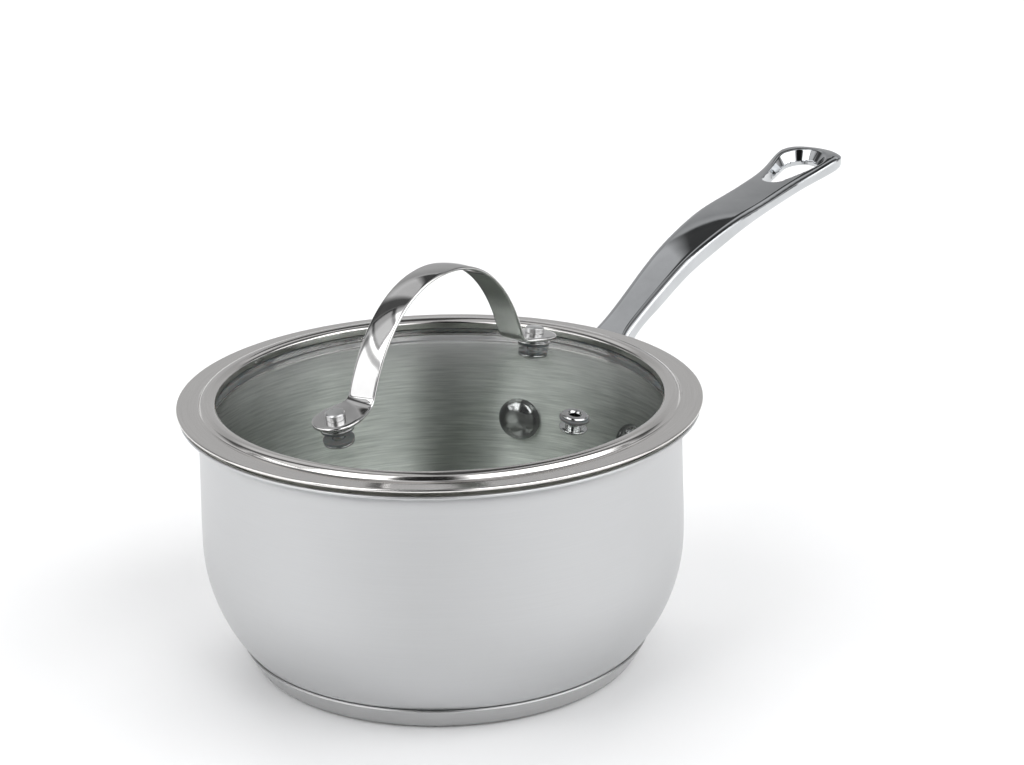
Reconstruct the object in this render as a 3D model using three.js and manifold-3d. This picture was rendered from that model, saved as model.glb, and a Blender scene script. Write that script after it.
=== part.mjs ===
// Saucepan, 16 cm across the mouth, with a domed glass lid.
// Millimetres, +Z up. The origin is the centre of the base's underside and +X runs along the handle.
import * as THREE from 'three';
import { mergeVertices } from 'three/addons/utils/BufferGeometryUtils.js';
import Module from 'manifold-3d';

const wasm = await Module();
wasm.setup();

// ---- driving dimensions -------------------------------------------------------------------------

// Air left between pieces that touch on the real pan.
const touchGap = 0.3;
const degree = Math.PI / 180;
const roundSides = 48;
const smallSides = 16;

// Deep-drawn pot.
const mouthRadius = 80;
const wall = 0.8;
const bellyBulge = 0.6;
const bellyHeight = 43.4;
const bellyArcWidth = 53.9;
const bellyArcDepth = 55.2;
const flareStart = 80.5;
const flareRadius = 7;
const flareSweep = 78 * degree;
const lipThickness = 1.2;

// Capsule base: aluminium disc in a pressed steel cap.
const capFloor = 0.8;
const capWall = 0.6;
const coreThickness = 4.2;
const capHeight = 8.2;
const capTaper = 4.4;
const capFootRound = 2.6;

// Lid ring, rolled from sheet.
const ringSheet = 0.5;
const hemOverhang = 0.85;
const hemThickness = 1.1;
const beadRise = 2.0;
const beadHalfWidth = 3.2;
const beadInset = 2.6;
const seatGap = 0.4;
const skirtTop = 50 * degree;
const skirtFoot = 20 * degree;
const ringLap = 1.9;
const innerEdgeDrop = 2.1;

// Edge seal and domed glass.
const sealWall = 2.2;
const sealFloor = 1.0;
const sealRoof = 0.47;
const sealInset = 0.3;
const glassThickness = 4;
const domeRadius = 330;

// Strap handle on the lid.
const strapWidth = 10.8;
const strapThickness = 1.5;
const footSpacing = 104;
const footPadRadius = 7.8;
const footStandoff = 2.8;
const archHeight = 37.2;
const footRun = 13;
const legHeight = 5.2;
const legLean = 19 * degree;
const crownReach = 21.5;
const shoulderReach = 16.5;

// Fixings at each foot of the strap.
const shankRadius = 1.9;
const rivetHeadRadius = 3.3;
const rivetHeadHeight = 2.3;
const rivetTailRadius = 3.2;
const rivetTailHeight = 1.2;
const gasketThickness = 0.8;
const gasketRadius = 5.4;
const ferruleFlangeRadius = 5.8;
const ferruleFlangeThickness = 0.7;
const ferruleTopRadius = 6.6;
const washerRadius = 5.0;
const washerThickness = 0.7;

// Steam vent.
const ventDistance = 55.5;
const ventBore = 1.75;
const ventTubeRadius = 2.4;
const ventFlangeRadius = 4.4;
const ventFlangeThickness = 0.8;
const ventGasketRadius = 4.9;
const ventGasketThickness = 0.8;
const ventWasherRadius = 4.6;
const ventWasherThickness = 0.6;
const ventRollThickness = 0.8;

// Long handle. Its lines run from the pot's wall, and their heights from the start of the flare.
const handleLength = 162.7;
const handleThickness = 7.5;
const gripThickness = 5.7;
const armTopLine = [[23.2, 9.5], [37.6, 16.7], [55.2, 24.9], [72.7, 30.6], [90.2, 34.4]];
const gripTopLine = [[107.8, 36.5], [125.2, 38.8], [142.8, 41.7]];
const tipRise = 44.3;
const halfWidthLine = [[25.2, 6.8], [42.2, 7.4], [68.2, 9.0], [94.2, 10.2], [119.2, 10.1], [133.2, 10.7]];
const handleEndHalfWidth = 13.5;
const handleEndLength = 9.5;
const saddleThickness = 3.4;
const saddleHalfWidth = 32.5;
const saddleHeight = 21;
const saddleDrop = 26.5;
const rootDrop = 10.5;
const rootHalfWidth = 15;

// Hanging hole in the handle.
const holeBackRadius = 4;
const holeFrontRadius = 7.4;
const holeLength = 19;
const holeEndMargin = 8.5;
const dishMargin = 2.8;
const dishDepth = 2.6;

// Rivets that hold the handle.
const handleRivetOffset = 25.5;
const handleShankRadius = 3;
const handleRivetHeadRadius = 7.8;
const handleRivetHeadHeight = 4.2;
const handleRivetTailRadius = 5;
const handleRivetTailHeight = 1.6;

// ---- places that follow from them ---------------------------------------------------------------

const wallRadius = mouthRadius + wall;
const bellyRadius = wallRadius + bellyBulge;
const flareCentre = mouthRadius + wall + flareRadius;
const lipTop = flareStart + (flareRadius + wall) * Math.sin(flareSweep);
const lipRadius = flareCentre - (flareRadius + wall / 2) * Math.cos(flareSweep) + lipThickness / 2;
const coreBottom = capFloor + touchGap;
const floorBottom = coreBottom + coreThickness + touchGap;

const ringRadius = lipRadius + hemOverhang;
const skirtArc = flareRadius + wall + seatGap;
const skirtInnerArc = skirtArc + ringSheet;
const skirtRadius = flareCentre - skirtArc * Math.cos(skirtTop);
const pocketRadius = flareCentre - skirtInnerArc * Math.cos(skirtFoot);
const ringBottom = flareStart + skirtArc * Math.sin(skirtFoot) - touchGap;
const pocketFloor = ringBottom + ringSheet;

const sealRadius = pocketRadius - touchGap;
const glassRadius = sealRadius - sealWall - touchGap;
const ringInnerRadius = glassRadius - beadInset;
const beadMiddle = ringInnerRadius + beadHalfWidth;
const sealInnerRadius = ringInnerRadius + ringSheet + touchGap + sealInset;
const glassEdgeBottom = pocketFloor + touchGap + sealFloor + touchGap;
const domeSag = domeRadius - Math.sqrt(domeRadius ** 2 - glassRadius ** 2);
const glassTop = glassEdgeBottom + glassThickness + domeSag;
const sealCeiling = domeHeight(sealInnerRadius) + touchGap + sealRoof;
const ringTop = sealCeiling + touchGap + ringSheet;
const hemBottom = ringTop - hemThickness;
const beadTop = ringTop + beadRise;

const footRadius = footSpacing / 2;
const legRadius = footRadius - footRun;
const footTilt = Math.asin(footRadius / domeRadius);
const ventTilt = Math.asin(ventDistance / domeRadius);

const fromWall = ([out, rise]) => [wallRadius + out, flareStart + rise];
const armTop = armTopLine.map(fromWall);
const gripTop = gripTopLine.map(fromWall);
const handleHalfWidths = halfWidthLine.map(([out, halfWidth]) => [wallRadius + out, halfWidth]);
const handleReach = wallRadius + handleLength;
const handleTipHeight = flareStart + tipRise;
const saddleMiddle = flareStart - saddleDrop;
const rootTop = flareStart - rootDrop;

// ---- finishes -----------------------------------------------------------------------------------

const finishes = {
  satinSteel: { color: 0xd2d3d6, roughness: 0.38, metalness: 1 },
  baseSteel: { color: 0xb9babd, roughness: 0.32, metalness: 1 },
  polishedSteel: { color: 0xc4c5c8, roughness: 0.12, metalness: 1 },
  aluminium: { color: 0xc9cbcd, roughness: 0.5, metalness: 1 },
  rivetSteel: { color: 0xb4b6b9, roughness: 0.2, metalness: 1 },
  silicone: { color: 0xd9dcda, roughness: 0.6, metalness: 0 },
  glass: { color: 0xcfdcd8, roughness: 0.05, metalness: 0, transparent: true, opacity: 0.35 },
};

// ---- solids -------------------------------------------------------------------------------------

// Turns a closed three.js geometry into a manifold solid, with its faces pointing out.
function solid(geometry) {
  const bare = geometry.clone();
  bare.deleteAttribute('normal');
  bare.deleteAttribute('uv');
  const merged = mergeVertices(bare, 1e-4);
  const triVerts = Uint32Array.from(merged.index.array);
  const vertProperties = Float32Array.from(merged.attributes.position.array);
  if (signedVolume(vertProperties, triVerts) < 0) {
    for (let corner = 0; corner < triVerts.length; corner += 3) {
      const kept = triVerts[corner];
      triVerts[corner] = triVerts[corner + 1];
      triVerts[corner + 1] = kept;
    }
  }
  return new wasm.Manifold(new wasm.Mesh({ numProp: 3, vertProperties, triVerts }));
}

function signedVolume(positions, triangles) {
  const a = new THREE.Vector3();
  const b = new THREE.Vector3();
  const c = new THREE.Vector3();
  let total = 0;
  for (let corner = 0; corner < triangles.length; corner += 3) {
    a.fromArray(positions, triangles[corner] * 3);
    b.fromArray(positions, triangles[corner + 1] * 3);
    c.fromArray(positions, triangles[corner + 2] * 3);
    total += a.dot(b.cross(c)) / 6;
  }
  return total;
}

function geometryOf(manifold) {
  const mesh = manifold.getMesh();
  const geometry = new THREE.BufferGeometry();
  geometry.setAttribute('position', new THREE.BufferAttribute(Float32Array.from(mesh.vertProperties), 3));
  geometry.setIndex(new THREE.BufferAttribute(Uint32Array.from(mesh.triVerts), 1));
  return geometry;
}

// Revolves a closed or axis-to-axis outline of [radius, height] points about Z.
function turned(outline, sides) {
  const points = outline.map(([radius, height]) => new THREE.Vector2(radius, height));
  const geometry = new THREE.LatheGeometry(points, sides);
  geometry.rotateX(Math.PI / 2);
  return solid(geometry);
}

// A flat outline in the XZ plane, thickened evenly to both sides of Y = 0.
function sidePlate(shape, thickness, curveSegments) {
  const geometry = new THREE.ExtrudeGeometry(shape, { depth: thickness, bevelEnabled: false, curveSegments });
  geometry.rotateX(Math.PI / 2);
  geometry.translate(0, thickness / 2, 0);
  return solid(geometry);
}

// A flat outline in the XY plane, raised from one height to another.
function floorPlate(shape, from, to, curveSegments) {
  const geometry = new THREE.ExtrudeGeometry(shape, { depth: to - from, bevelEnabled: false, curveSegments });
  geometry.translate(0, 0, from);
  return solid(geometry);
}

// A cylinder that starts at a point and runs along a direction.
function rod(start, direction, length, radius, sides = smallSides) {
  const geometry = new THREE.CylinderGeometry(radius, radius, length, sides);
  geometry.translate(0, length / 2, 0);
  geometry.applyQuaternion(new THREE.Quaternion().setFromUnitVectors(new THREE.Vector3(0, 1, 0), direction));
  geometry.translate(start.x, start.y, start.z);
  return solid(geometry);
}

// Points on a circular arc of [radius, height] outline points.
function arc(centreRadius, centreHeight, size, from, to, steps) {
  const points = [];
  for (let step = 0; step <= steps; step += 1) {
    const angle = from + ((to - from) * step) / steps;
    points.push([centreRadius + size * Math.cos(angle), centreHeight + size * Math.sin(angle)]);
  }
  return points;
}

// Drops the repeated last point and closes the outline on its first one.
function closed(outline) {
  return [...outline, outline[0]];
}

// ---- pan ----------------------------------------------------------------------------------------

// Angle on the belly's ellipse at which the base cap's edge meets it.
const seamAngle = Math.asin((bellyHeight - capHeight) / bellyArcDepth);
const seamRadius = bellyRadius - bellyArcWidth + bellyArcWidth * Math.cos(seamAngle);
const seamTangent = new THREE.Vector2(
  bellyArcWidth * Math.sin(seamAngle),
  bellyArcDepth * Math.cos(seamAngle),
).normalize();
const seamNormal = new THREE.Vector2(seamTangent.y, -seamTangent.x);

// The pot's skin from the axis to the start of the flare, moved inwards by inset.
function bellyOutline(inset) {
  const floor = floorBottom + inset;
  const start = new THREE.Vector2(seamRadius, capHeight).addScaledVector(seamNormal, -inset);
  const cornerReach = (start.y - floor) / seamTangent.y;
  const corner = start.clone().addScaledVector(seamTangent, -cornerReach);
  const flatEnd = new THREE.Vector2(corner.x - cornerReach, floor);
  const bottomCorner = new THREE.QuadraticBezierCurve(flatEnd, corner, start);
  const outline = [[0, floor], ...bottomCorner.getPoints(3).map((point) => [point.x, point.y])];
  const steps = 7;
  for (let step = 1; step <= steps; step += 1) {
    const angle = seamAngle * (1 - step / steps);
    const radius = bellyRadius - bellyArcWidth + (bellyArcWidth - inset) * Math.cos(angle);
    outline.push([radius, bellyHeight - (bellyArcDepth - inset) * Math.sin(angle)]);
  }
  outline.push([wallRadius - inset, flareStart]);
  return outline;
}

function panBody() {
  const flare = (size) => arc(flareCentre, flareStart, size, Math.PI, Math.PI - flareSweep, 4).slice(1);
  const lipCentre = [
    flareCentre - (flareRadius + wall / 2) * Math.cos(flareSweep),
    flareStart + (flareRadius + wall / 2) * Math.sin(flareSweep),
  ];
  const lipSpan = 75 * degree;
  const lip = arc(lipCentre[0], lipCentre[1], lipThickness / 2, -lipSpan, lipSpan, 4);
  const outside = [...bellyOutline(0), ...flare(flareRadius).slice(0, -1), ...lip];
  const inside = [...bellyOutline(wall), ...flare(flareRadius + wall).slice(0, -1)].reverse();
  const pot = turned([...outside, ...inside], roundSides);
  return handleRivetPlaces().reduce((cut, place) => cut.subtract(rivetHole(place)), pot);
}

function baseCore() {
  const radius = seamRadius - capTaper - capWall - 2 * touchGap;
  const edge = 0.8;
  return turned([
    [0, coreBottom],
    [radius - edge, coreBottom],
    [radius, coreBottom + edge],
    [radius, coreBottom + coreThickness - edge],
    [radius - edge, coreBottom + coreThickness],
    [0, coreBottom + coreThickness],
  ], roundSides);
}

function baseCap() {
  const seam = new THREE.Vector2(seamRadius, capHeight);
  const lipInner = seam.clone().addScaledVector(seamNormal, touchGap);
  const lipOuter = seam.clone().addScaledVector(seamNormal, touchGap + capWall);
  const footRadiusOuter = seamRadius - capTaper + capWall;
  const skin = (inset, top) => {
    const foot = new THREE.Vector2(footRadiusOuter - inset, inset === 0 ? 0 : capFloor);
    const rise = top.clone().sub(foot).normalize();
    const start = new THREE.Vector2(foot.x - capFootRound, foot.y);
    const end = foot.clone().addScaledVector(rise, capFootRound);
    const corner = new THREE.QuadraticBezierCurve(start, foot, end);
    return [...corner.getPoints(4).map((point) => [point.x, point.y]), [top.x, top.y]];
  };
  const outer = skin(0, lipOuter);
  const inner = skin(capWall, lipInner);
  return turned([[0, 0], ...outer, ...inner.reverse(), [0, capFloor]], roundSides);
}

// ---- long handle --------------------------------------------------------------------------------

// Where each handle rivet crosses the wall, and the outward direction there.
function handleRivetPlaces() {
  const angle = Math.asin(handleRivetOffset / wallRadiusAt(saddleMiddle));
  return [1, -1].map((side) => {
    const direction = new THREE.Vector3(Math.cos(angle), side * Math.sin(angle), 0);
    return { direction, height: saddleMiddle };
  });
}

// The pot's outside radius at a height between the seam and the flare.
function wallRadiusAt(height) {
  const below = Math.max(bellyHeight - height, 0) / bellyArcDepth;
  const bellySide = bellyRadius - bellyArcWidth + bellyArcWidth * Math.sqrt(1 - below ** 2);
  const along = THREE.MathUtils.clamp((height - bellyHeight) / (flareStart - bellyHeight), 0, 1);
  return bellySide + (wallRadius - bellyRadius) * along;
}

function rivetHole({ direction, height }) {
  const inside = wallRadiusAt(height) - 20;
  const start = direction.clone().multiplyScalar(inside).setZ(height);
  return rod(start, direction, 60, handleShankRadius + touchGap);
}

function handleTop() {
  const root = [[wallRadius - 3, rootTop - 8], [wallRadius + 4.5, rootTop + 5.5], [wallRadius + 12, rootTop + 13.5]];
  const tip = [[handleReach - 5, handleTipHeight - 0.1], [handleReach, handleTipHeight - 0.8]];
  return [...root, ...armTop, ...gripTop, ...tip];
}

// Side outline: the top line, a rounded tip, and an underside that keeps the handle's thickness.
function handleSide() {
  const gripStart = gripTop[0][0];
  const thinningStart = armTop[3][0];
  const underside = handleTop()
    .filter(([reach]) => reach > armTop[0][0] - 1 && reach < handleReach)
    .map(([reach, height]) => {
      const thinned = THREE.MathUtils.smoothstep(reach, thinningStart, gripStart);
      return [reach, height - handleThickness - (gripThickness - handleThickness) * thinned];
    })
    .reverse();
  const rootBelow = [[wallRadius + 14, rootTop + 3.5], [wallRadius + 7.5, rootTop - 9]];
  const saddleFoot = [wallRadius + 3.4, saddleMiddle - saddleHeight / 2 + 3];
  const top = new THREE.SplineCurve(handleTop().map(([x, z]) => new THREE.Vector2(x, z)));
  const below = new THREE.SplineCurve(
    [...underside, ...rootBelow, saddleFoot].map(([x, z]) => new THREE.Vector2(x, z)),
  );
  const points = [...top.getPoints(30), ...below.getPoints(26)];
  points.push(new THREE.Vector2(wallRadius - 3, saddleFoot[1]));
  return new THREE.Shape(points);
}

function handlePlan() {
  const endStart = handleReach - handleEndLength;
  const side = [
    [wallRadius - 3, rootHalfWidth + 3],
    [wallRadius + 3, rootHalfWidth],
    [wallRadius + 12, 9],
    ...handleHalfWidths,
    [endStart - 9, handleEndHalfWidth - 1.2],
    [endStart, handleEndHalfWidth],
  ];
  const spline = new THREE.SplineCurve(side.map(([x, y]) => new THREE.Vector2(x, y)));
  const tip = new THREE.CubicBezierCurve(
    new THREE.Vector2(endStart, handleEndHalfWidth),
    new THREE.Vector2(endStart + handleEndLength * 0.6, handleEndHalfWidth),
    new THREE.Vector2(handleReach, handleEndHalfWidth * 0.62),
    new THREE.Vector2(handleReach, 0),
  );
  const upper = [...spline.getPoints(26), ...tip.getPoints(6).slice(1)];
  const lower = upper.slice(0, -1).reverse().map((point) => new THREE.Vector2(point.x, -point.y));
  return new THREE.Shape([...upper, ...lower]);
}

// A hole outline that widens towards the tip: two arcs and the lines that touch both.
function teardrop(margin) {
  const front = handleReach - holeEndMargin - holeFrontRadius;
  const back = front - holeLength;
  const turn = Math.PI / 2 + Math.asin((holeFrontRadius - holeBackRadius) / holeLength);
  const shape = new THREE.Shape();
  shape.absarc(front, 0, holeFrontRadius + margin, -turn, turn, false);
  shape.absarc(back, 0, holeBackRadius + margin, turn, 2 * Math.PI - turn, false);
  return shape;
}

// The curved plate at the handle's root that lies against the wall.
function saddle() {
  const inner = (height) => wallRadiusAt(height) + touchGap;
  const low = saddleMiddle - saddleHeight / 2;
  const high = saddleMiddle + saddleHeight / 2;
  const levels = [0, 0.2, 0.4, 0.6, 0.8, 1].map((share) => low + (high - low) * share);
  const outer = levels.map((level) => [inner(level) + saddleThickness, level]);
  const back = levels.map((level) => [inner(level), level]).reverse();
  const band = turned(closed([...outer, ...back]), roundSides);
  const corner = saddleHeight / 2 - 0.5;
  const outline = new THREE.Shape();
  const left = -saddleHalfWidth + corner;
  const right = saddleHalfWidth - corner;
  outline.absarc(right, 0, corner, -Math.PI / 2, Math.PI / 2, false);
  outline.absarc(left, 0, corner, Math.PI / 2, (3 * Math.PI) / 2, false);
  const reach = wallRadius + 3 * saddleThickness;
  const geometry = new THREE.ExtrudeGeometry(outline, { depth: reach, bevelEnabled: false, curveSegments: 6 });
  geometry.rotateX(Math.PI / 2);
  geometry.rotateZ(Math.PI / 2);
  geometry.translate(0, 0, saddleMiddle);
  return band.intersect(solid(geometry));
}

function panHandle() {
  const gripWidth = 2 * Math.max(handleEndHalfWidth, rootHalfWidth) + 10;
  const arm = sidePlate(handleSide(), gripWidth, 4)
    .intersect(floorPlate(handlePlan(), 0, handleTipHeight + 10, 6));
  const wallOutline = bellyOutline(-touchGap);
  const clearance = turned([...wallOutline, [wallRadius + touchGap, lipTop], [0, lipTop]], roundSides);
  const lower = handleTipHeight - 40;
  const hole = floorPlate(teardrop(0), lower, handleTipHeight + 10, 5);
  const gripEnd = gripTop[gripTop.length - 1];
  const gripSlope = Math.atan2(handleTipHeight - gripEnd[1], handleReach - 5 - gripEnd[0]);
  const dish = new THREE.ExtrudeGeometry(teardrop(dishMargin), { depth: 10, bevelEnabled: false, curveSegments: 5 });
  dish.translate(-gripEnd[0], 0, -dishDepth);
  dish.rotateY(-gripSlope);
  dish.translate(gripEnd[0], 0, gripEnd[1]);
  const cast = arm.subtract(clearance).add(saddle()).subtract(hole).subtract(solid(dish));
  return handleRivetPlaces().reduce((cut, place) => cut.subtract(rivetHole(place)), cast);
}

// A domed head inside the wall, a shank through wall and saddle, and a flatter head outside.
function handleRivet({ direction, height }) {
  const headRise = handleRivetHeadRadius ** 2 / (2 * mouthRadius);
  const nearWall = (reach) => [wallRadiusAt(height - reach), wallRadiusAt(height + reach)];
  const wallInside = (Math.min(...nearWall(handleRivetHeadRadius)) - wall) * Math.cos(Math.PI / roundSides);
  const headSeat = wallInside - headRise - touchGap;
  const saddleFace = Math.max(...nearWall(handleRivetTailRadius)) + saddleThickness + 2 * touchGap;
  const outline = [
    [0, headSeat - handleRivetHeadHeight],
    [handleRivetHeadRadius * 0.5, headSeat - handleRivetHeadHeight * 0.86],
    [handleRivetHeadRadius * 0.85, headSeat - handleRivetHeadHeight * 0.5],
    [handleRivetHeadRadius, headSeat - 0.5],
    [handleRivetHeadRadius, headSeat],
    [handleShankRadius, headSeat],
    [handleShankRadius, saddleFace],
    [handleRivetTailRadius, saddleFace],
    [handleRivetTailRadius * 0.9, saddleFace + handleRivetTailHeight * 0.7],
    [handleRivetTailRadius * 0.4, saddleFace + handleRivetTailHeight],
    [0, saddleFace + handleRivetTailHeight],
  ];
  const geometry = geometryOf(turned(outline, smallSides));
  geometry.rotateY(Math.PI / 2);
  geometry.rotateZ(Math.atan2(direction.y, direction.x));
  geometry.translate(0, 0, height);
  return solid(geometry);
}

// ---- lid ----------------------------------------------------------------------------------------

// Height of the glass's upper face at a radius, or of the face that lies drop below it.
function domeHeight(radius, drop = 0) {
  const size = domeRadius - drop;
  return glassTop - domeRadius + Math.sqrt(size ** 2 - radius ** 2);
}

// One rolled sheet: inner edge, bead, flange, hem, skirt, and the lap under the glass.
function lidRing() {
  const beadRadius = (beadHalfWidth ** 2 + beadRise ** 2) / (2 * beadRise);
  const beadCentre = beadTop - beadRadius;
  const innerEdgeTop = beadTop - innerEdgeDrop + 0.9;
  const beadSweep = Math.acos((innerEdgeTop - beadCentre) / beadRadius);
  const bead = (size, steps) =>
    arc(beadMiddle, beadCentre, size, Math.PI / 2 + beadSweep, Math.PI / 2 - beadSweep, steps);
  const innerEdgeBottom = domeHeight(ringInnerRadius) + touchGap;
  const hemRound = hemThickness / 2;
  const hem = arc(ringRadius - hemRound, ringTop - hemRound, hemRound, Math.PI / 2, -Math.PI / 2, 4);
  const skirt = (size, steps, from, to) => arc(flareCentre, flareStart, size, Math.PI - from, Math.PI - to, steps);
  const outerBead = bead(beadRadius, 6);
  const innerBead = bead(beadRadius - ringSheet, 5);
  const beadFoot = outerBead[outerBead.length - 1];
  const outside = [
    [outerBead[0][0], innerEdgeBottom],
    ...outerBead,
    [beadFoot[0] + 0.5, ringTop],
    ...hem,
    [skirtRadius + 0.4, hemBottom],
    [skirtRadius, hemBottom - 0.4],
    ...skirt(skirtArc, 3, skirtTop, skirtFoot),
    [flareCentre - skirtArc * Math.cos(skirtFoot) - 0.5, ringBottom],
    [glassRadius - ringLap, ringBottom],
  ];
  const pocketCeiling = Math.min(innerBead[innerBead.length - 1][1], ringTop - ringSheet);
  const inside = [
    [glassRadius - ringLap, pocketFloor],
    ...skirt(skirtInnerArc, 3, skirtFoot, skirtTop),
    [skirtRadius - ringSheet, pocketCeiling],
    ...innerBead.reverse(),
    [innerBead[innerBead.length - 1][0], innerEdgeBottom],
  ];
  return turned(closed([...outside, ...inside]), roundSides);
}

// Channel-shaped seal that fills the ring around the edge of the glass.
function lidEdgeSeal() {
  const slotRadius = glassRadius + touchGap;
  const lapRadius = glassRadius - ringLap + touchGap;
  const upper = (radius) => domeHeight(radius) + touchGap;
  const lower = (radius) => domeHeight(radius, glassThickness) - touchGap;
  return turned(closed([
    [sealInnerRadius, upper(sealInnerRadius)],
    [sealInnerRadius, sealCeiling],
    [sealRadius, sealCeiling],
    [sealRadius, pocketFloor + touchGap + 1.2],
    [sealRadius - 0.9, pocketFloor + touchGap],
    [lapRadius, pocketFloor + touchGap],
    [lapRadius, lower(lapRadius)],
    [slotRadius, lower(slotRadius)],
    [slotRadius, upper(slotRadius)],
  ]), roundSides);
}

// A frame that stands on the dome at a distance from the axis, with its Z along the glass's normal.
function domeFrame(distance, azimuth) {
  const frame = new THREE.Group();
  const tilt = Math.asin(distance / domeRadius);
  frame.position.set(distance * Math.cos(azimuth), distance * Math.sin(azimuth), domeHeight(distance));
  frame.rotation.set(0, tilt, azimuth, 'ZYX');
  frame.updateMatrixWorld();
  return frame;
}

const footAzimuths = { front: Math.PI, back: 0 };
const ventAzimuth = -Math.PI / 2;

function lidGlass() {
  const steps = 5;
  const cap = (drop, edge) => {
    const points = [];
    for (let step = 0; step <= steps; step += 1) {
      const radius = (edge * step) / steps;
      points.push([radius, domeHeight(radius, drop)]);
    }
    return points;
  };
  const arris = 0.5;
  const top = cap(0, glassRadius - arris);
  const bottom = cap(glassThickness, glassRadius - arris);
  const edge = [
    [glassRadius, domeHeight(glassRadius, glassThickness) + arris],
    [glassRadius, domeHeight(glassRadius) - arris],
  ];
  const glass = turned([...bottom, ...edge, ...top.reverse()], roundSides);
  const holes = [
    [domeFrame(footRadius, footAzimuths.front), shankRadius + touchGap],
    [domeFrame(footRadius, footAzimuths.back), shankRadius + touchGap],
    [domeFrame(ventDistance, ventAzimuth), ventTubeRadius + touchGap],
  ];
  return holes.reduce((cut, [frame, radius]) => {
    const direction = new THREE.Vector3(0, 0, 1).applyEuler(frame.rotation);
    const start = frame.position.clone().addScaledVector(direction, -3 * glassThickness);
    return cut.subtract(rod(start, direction, 6 * glassThickness, radius));
  }, glass);
}

// Half of the strap's middle line, from the crown to the outer end of a foot.
function strapHalfLine() {
  const half = strapThickness / 2;
  const across = new THREE.Vector2(Math.cos(footTilt), -Math.sin(footTilt));
  const up = new THREE.Vector2(Math.sin(footTilt), Math.cos(footTilt));
  const footMiddle = new THREE.Vector2(footRadius, domeHeight(footRadius))
    .addScaledVector(up, footStandoff + half);
  const padEnd = footMiddle.clone().addScaledVector(across, footPadRadius);
  const padStart = footMiddle.clone().addScaledVector(across, -footPadRadius * 0.9);
  const crown = new THREE.Vector2(0, glassTop + archHeight - half);
  const leg = new THREE.Vector2(legRadius, glassTop + legHeight);
  const rise = new THREE.Vector2(-Math.sin(legLean), Math.cos(legLean));
  const arch = new THREE.CubicBezierCurve(
    crown,
    crown.clone().add(new THREE.Vector2(crownReach, 0)),
    leg.clone().addScaledVector(rise, shoulderReach),
    leg,
  );
  const bendReach = leg.distanceTo(padStart) * 0.5;
  const bend = new THREE.CubicBezierCurve(
    leg,
    leg.clone().addScaledVector(rise, -bendReach),
    padStart.clone().addScaledVector(across, -bendReach),
    padStart,
  );
  return [...arch.getPoints(12), ...bend.getPoints(6).slice(1), padEnd];
}

function strapSide() {
  const half = strapHalfLine();
  const mirrored = half.slice(1).reverse().map((point) => new THREE.Vector2(-point.x, point.y));
  const line = [...mirrored, ...half];
  const offset = (distance) => line.map((point, index) => {
    const before = line[Math.max(index - 1, 0)];
    const after = line[Math.min(index + 1, line.length - 1)];
    const tangent = after.clone().sub(before).normalize();
    return new THREE.Vector2(point.x - tangent.y * distance, point.y + tangent.x * distance);
  });
  return new THREE.Shape([...offset(strapThickness / 2), ...offset(-strapThickness / 2).reverse()]);
}

function strapPlan() {
  const widening = 0.75 * footPadRadius;
  const narrow = strapWidth / 2;
  const half = new THREE.Shape();
  half.moveTo(0, -narrow);
  half.lineTo(footRadius - footPadRadius - widening, -narrow);
  half.bezierCurveTo(
    footRadius - footPadRadius,
    -narrow,
    footRadius - footPadRadius * 0.6,
    -footPadRadius,
    footRadius,
    -footPadRadius,
  );
  half.absarc(footRadius, 0, footPadRadius, -Math.PI / 2, Math.PI / 2, false);
  half.bezierCurveTo(
    footRadius - footPadRadius * 0.6,
    footPadRadius,
    footRadius - footPadRadius,
    narrow,
    footRadius - footPadRadius - widening,
    narrow,
  );
  half.lineTo(0, narrow);
  const points = half.getPoints(6);
  const mirrored = points.map((point) => new THREE.Vector2(-point.x, -point.y));
  return new THREE.Shape([...points.slice(0, -1), ...mirrored.slice(0, -1)]);
}

function lidHandle() {
  const strap = sidePlate(strapSide(), 3 * footPadRadius, 4)
    .intersect(floorPlate(strapPlan(), glassTop - 30, glassTop + archHeight + 10, 6));
  return Object.values(footAzimuths).reduce((cut, azimuth) => {
    const frame = domeFrame(footRadius, azimuth);
    const direction = new THREE.Vector3(0, 0, 1).applyEuler(frame.rotation);
    return cut.subtract(rod(frame.position, direction, 15, shankRadius + touchGap));
  }, strap);
}

// A flat ring with a clear hole for what passes through it, from one height up to another.
function flatRing(bottom, thickness, radius, hole) {
  return turned(closed([
    [hole, bottom],
    [radius, bottom],
    [radius, bottom + thickness],
    [hole, bottom + thickness],
  ]), smallSides);
}

const shankHole = shankRadius + touchGap;
const underGlass = -glassThickness - touchGap;

function footGasketUpper() {
  return flatRing(touchGap, gasketThickness, gasketRadius, shankHole);
}

// Steel ferrule: a flat flange on the gasket and a flared neck up to the foot.
function footFerrule() {
  const bottom = gasketThickness + 2 * touchGap;
  const top = footStandoff - touchGap;
  return turned(closed([
    [shankHole, bottom],
    [ferruleFlangeRadius, bottom],
    [ferruleFlangeRadius, bottom + ferruleFlangeThickness],
    [ferruleFlangeRadius - 0.7, bottom + ferruleFlangeThickness],
    [ferruleTopRadius, top],
    [shankHole, top],
  ]), smallSides);
}

function footGasketLower() {
  return flatRing(underGlass - gasketThickness, gasketThickness, gasketRadius - 0.3, shankHole);
}

function footWasher() {
  const top = underGlass - gasketThickness - touchGap;
  return flatRing(top - washerThickness, washerThickness, washerRadius, shankHole);
}

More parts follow.
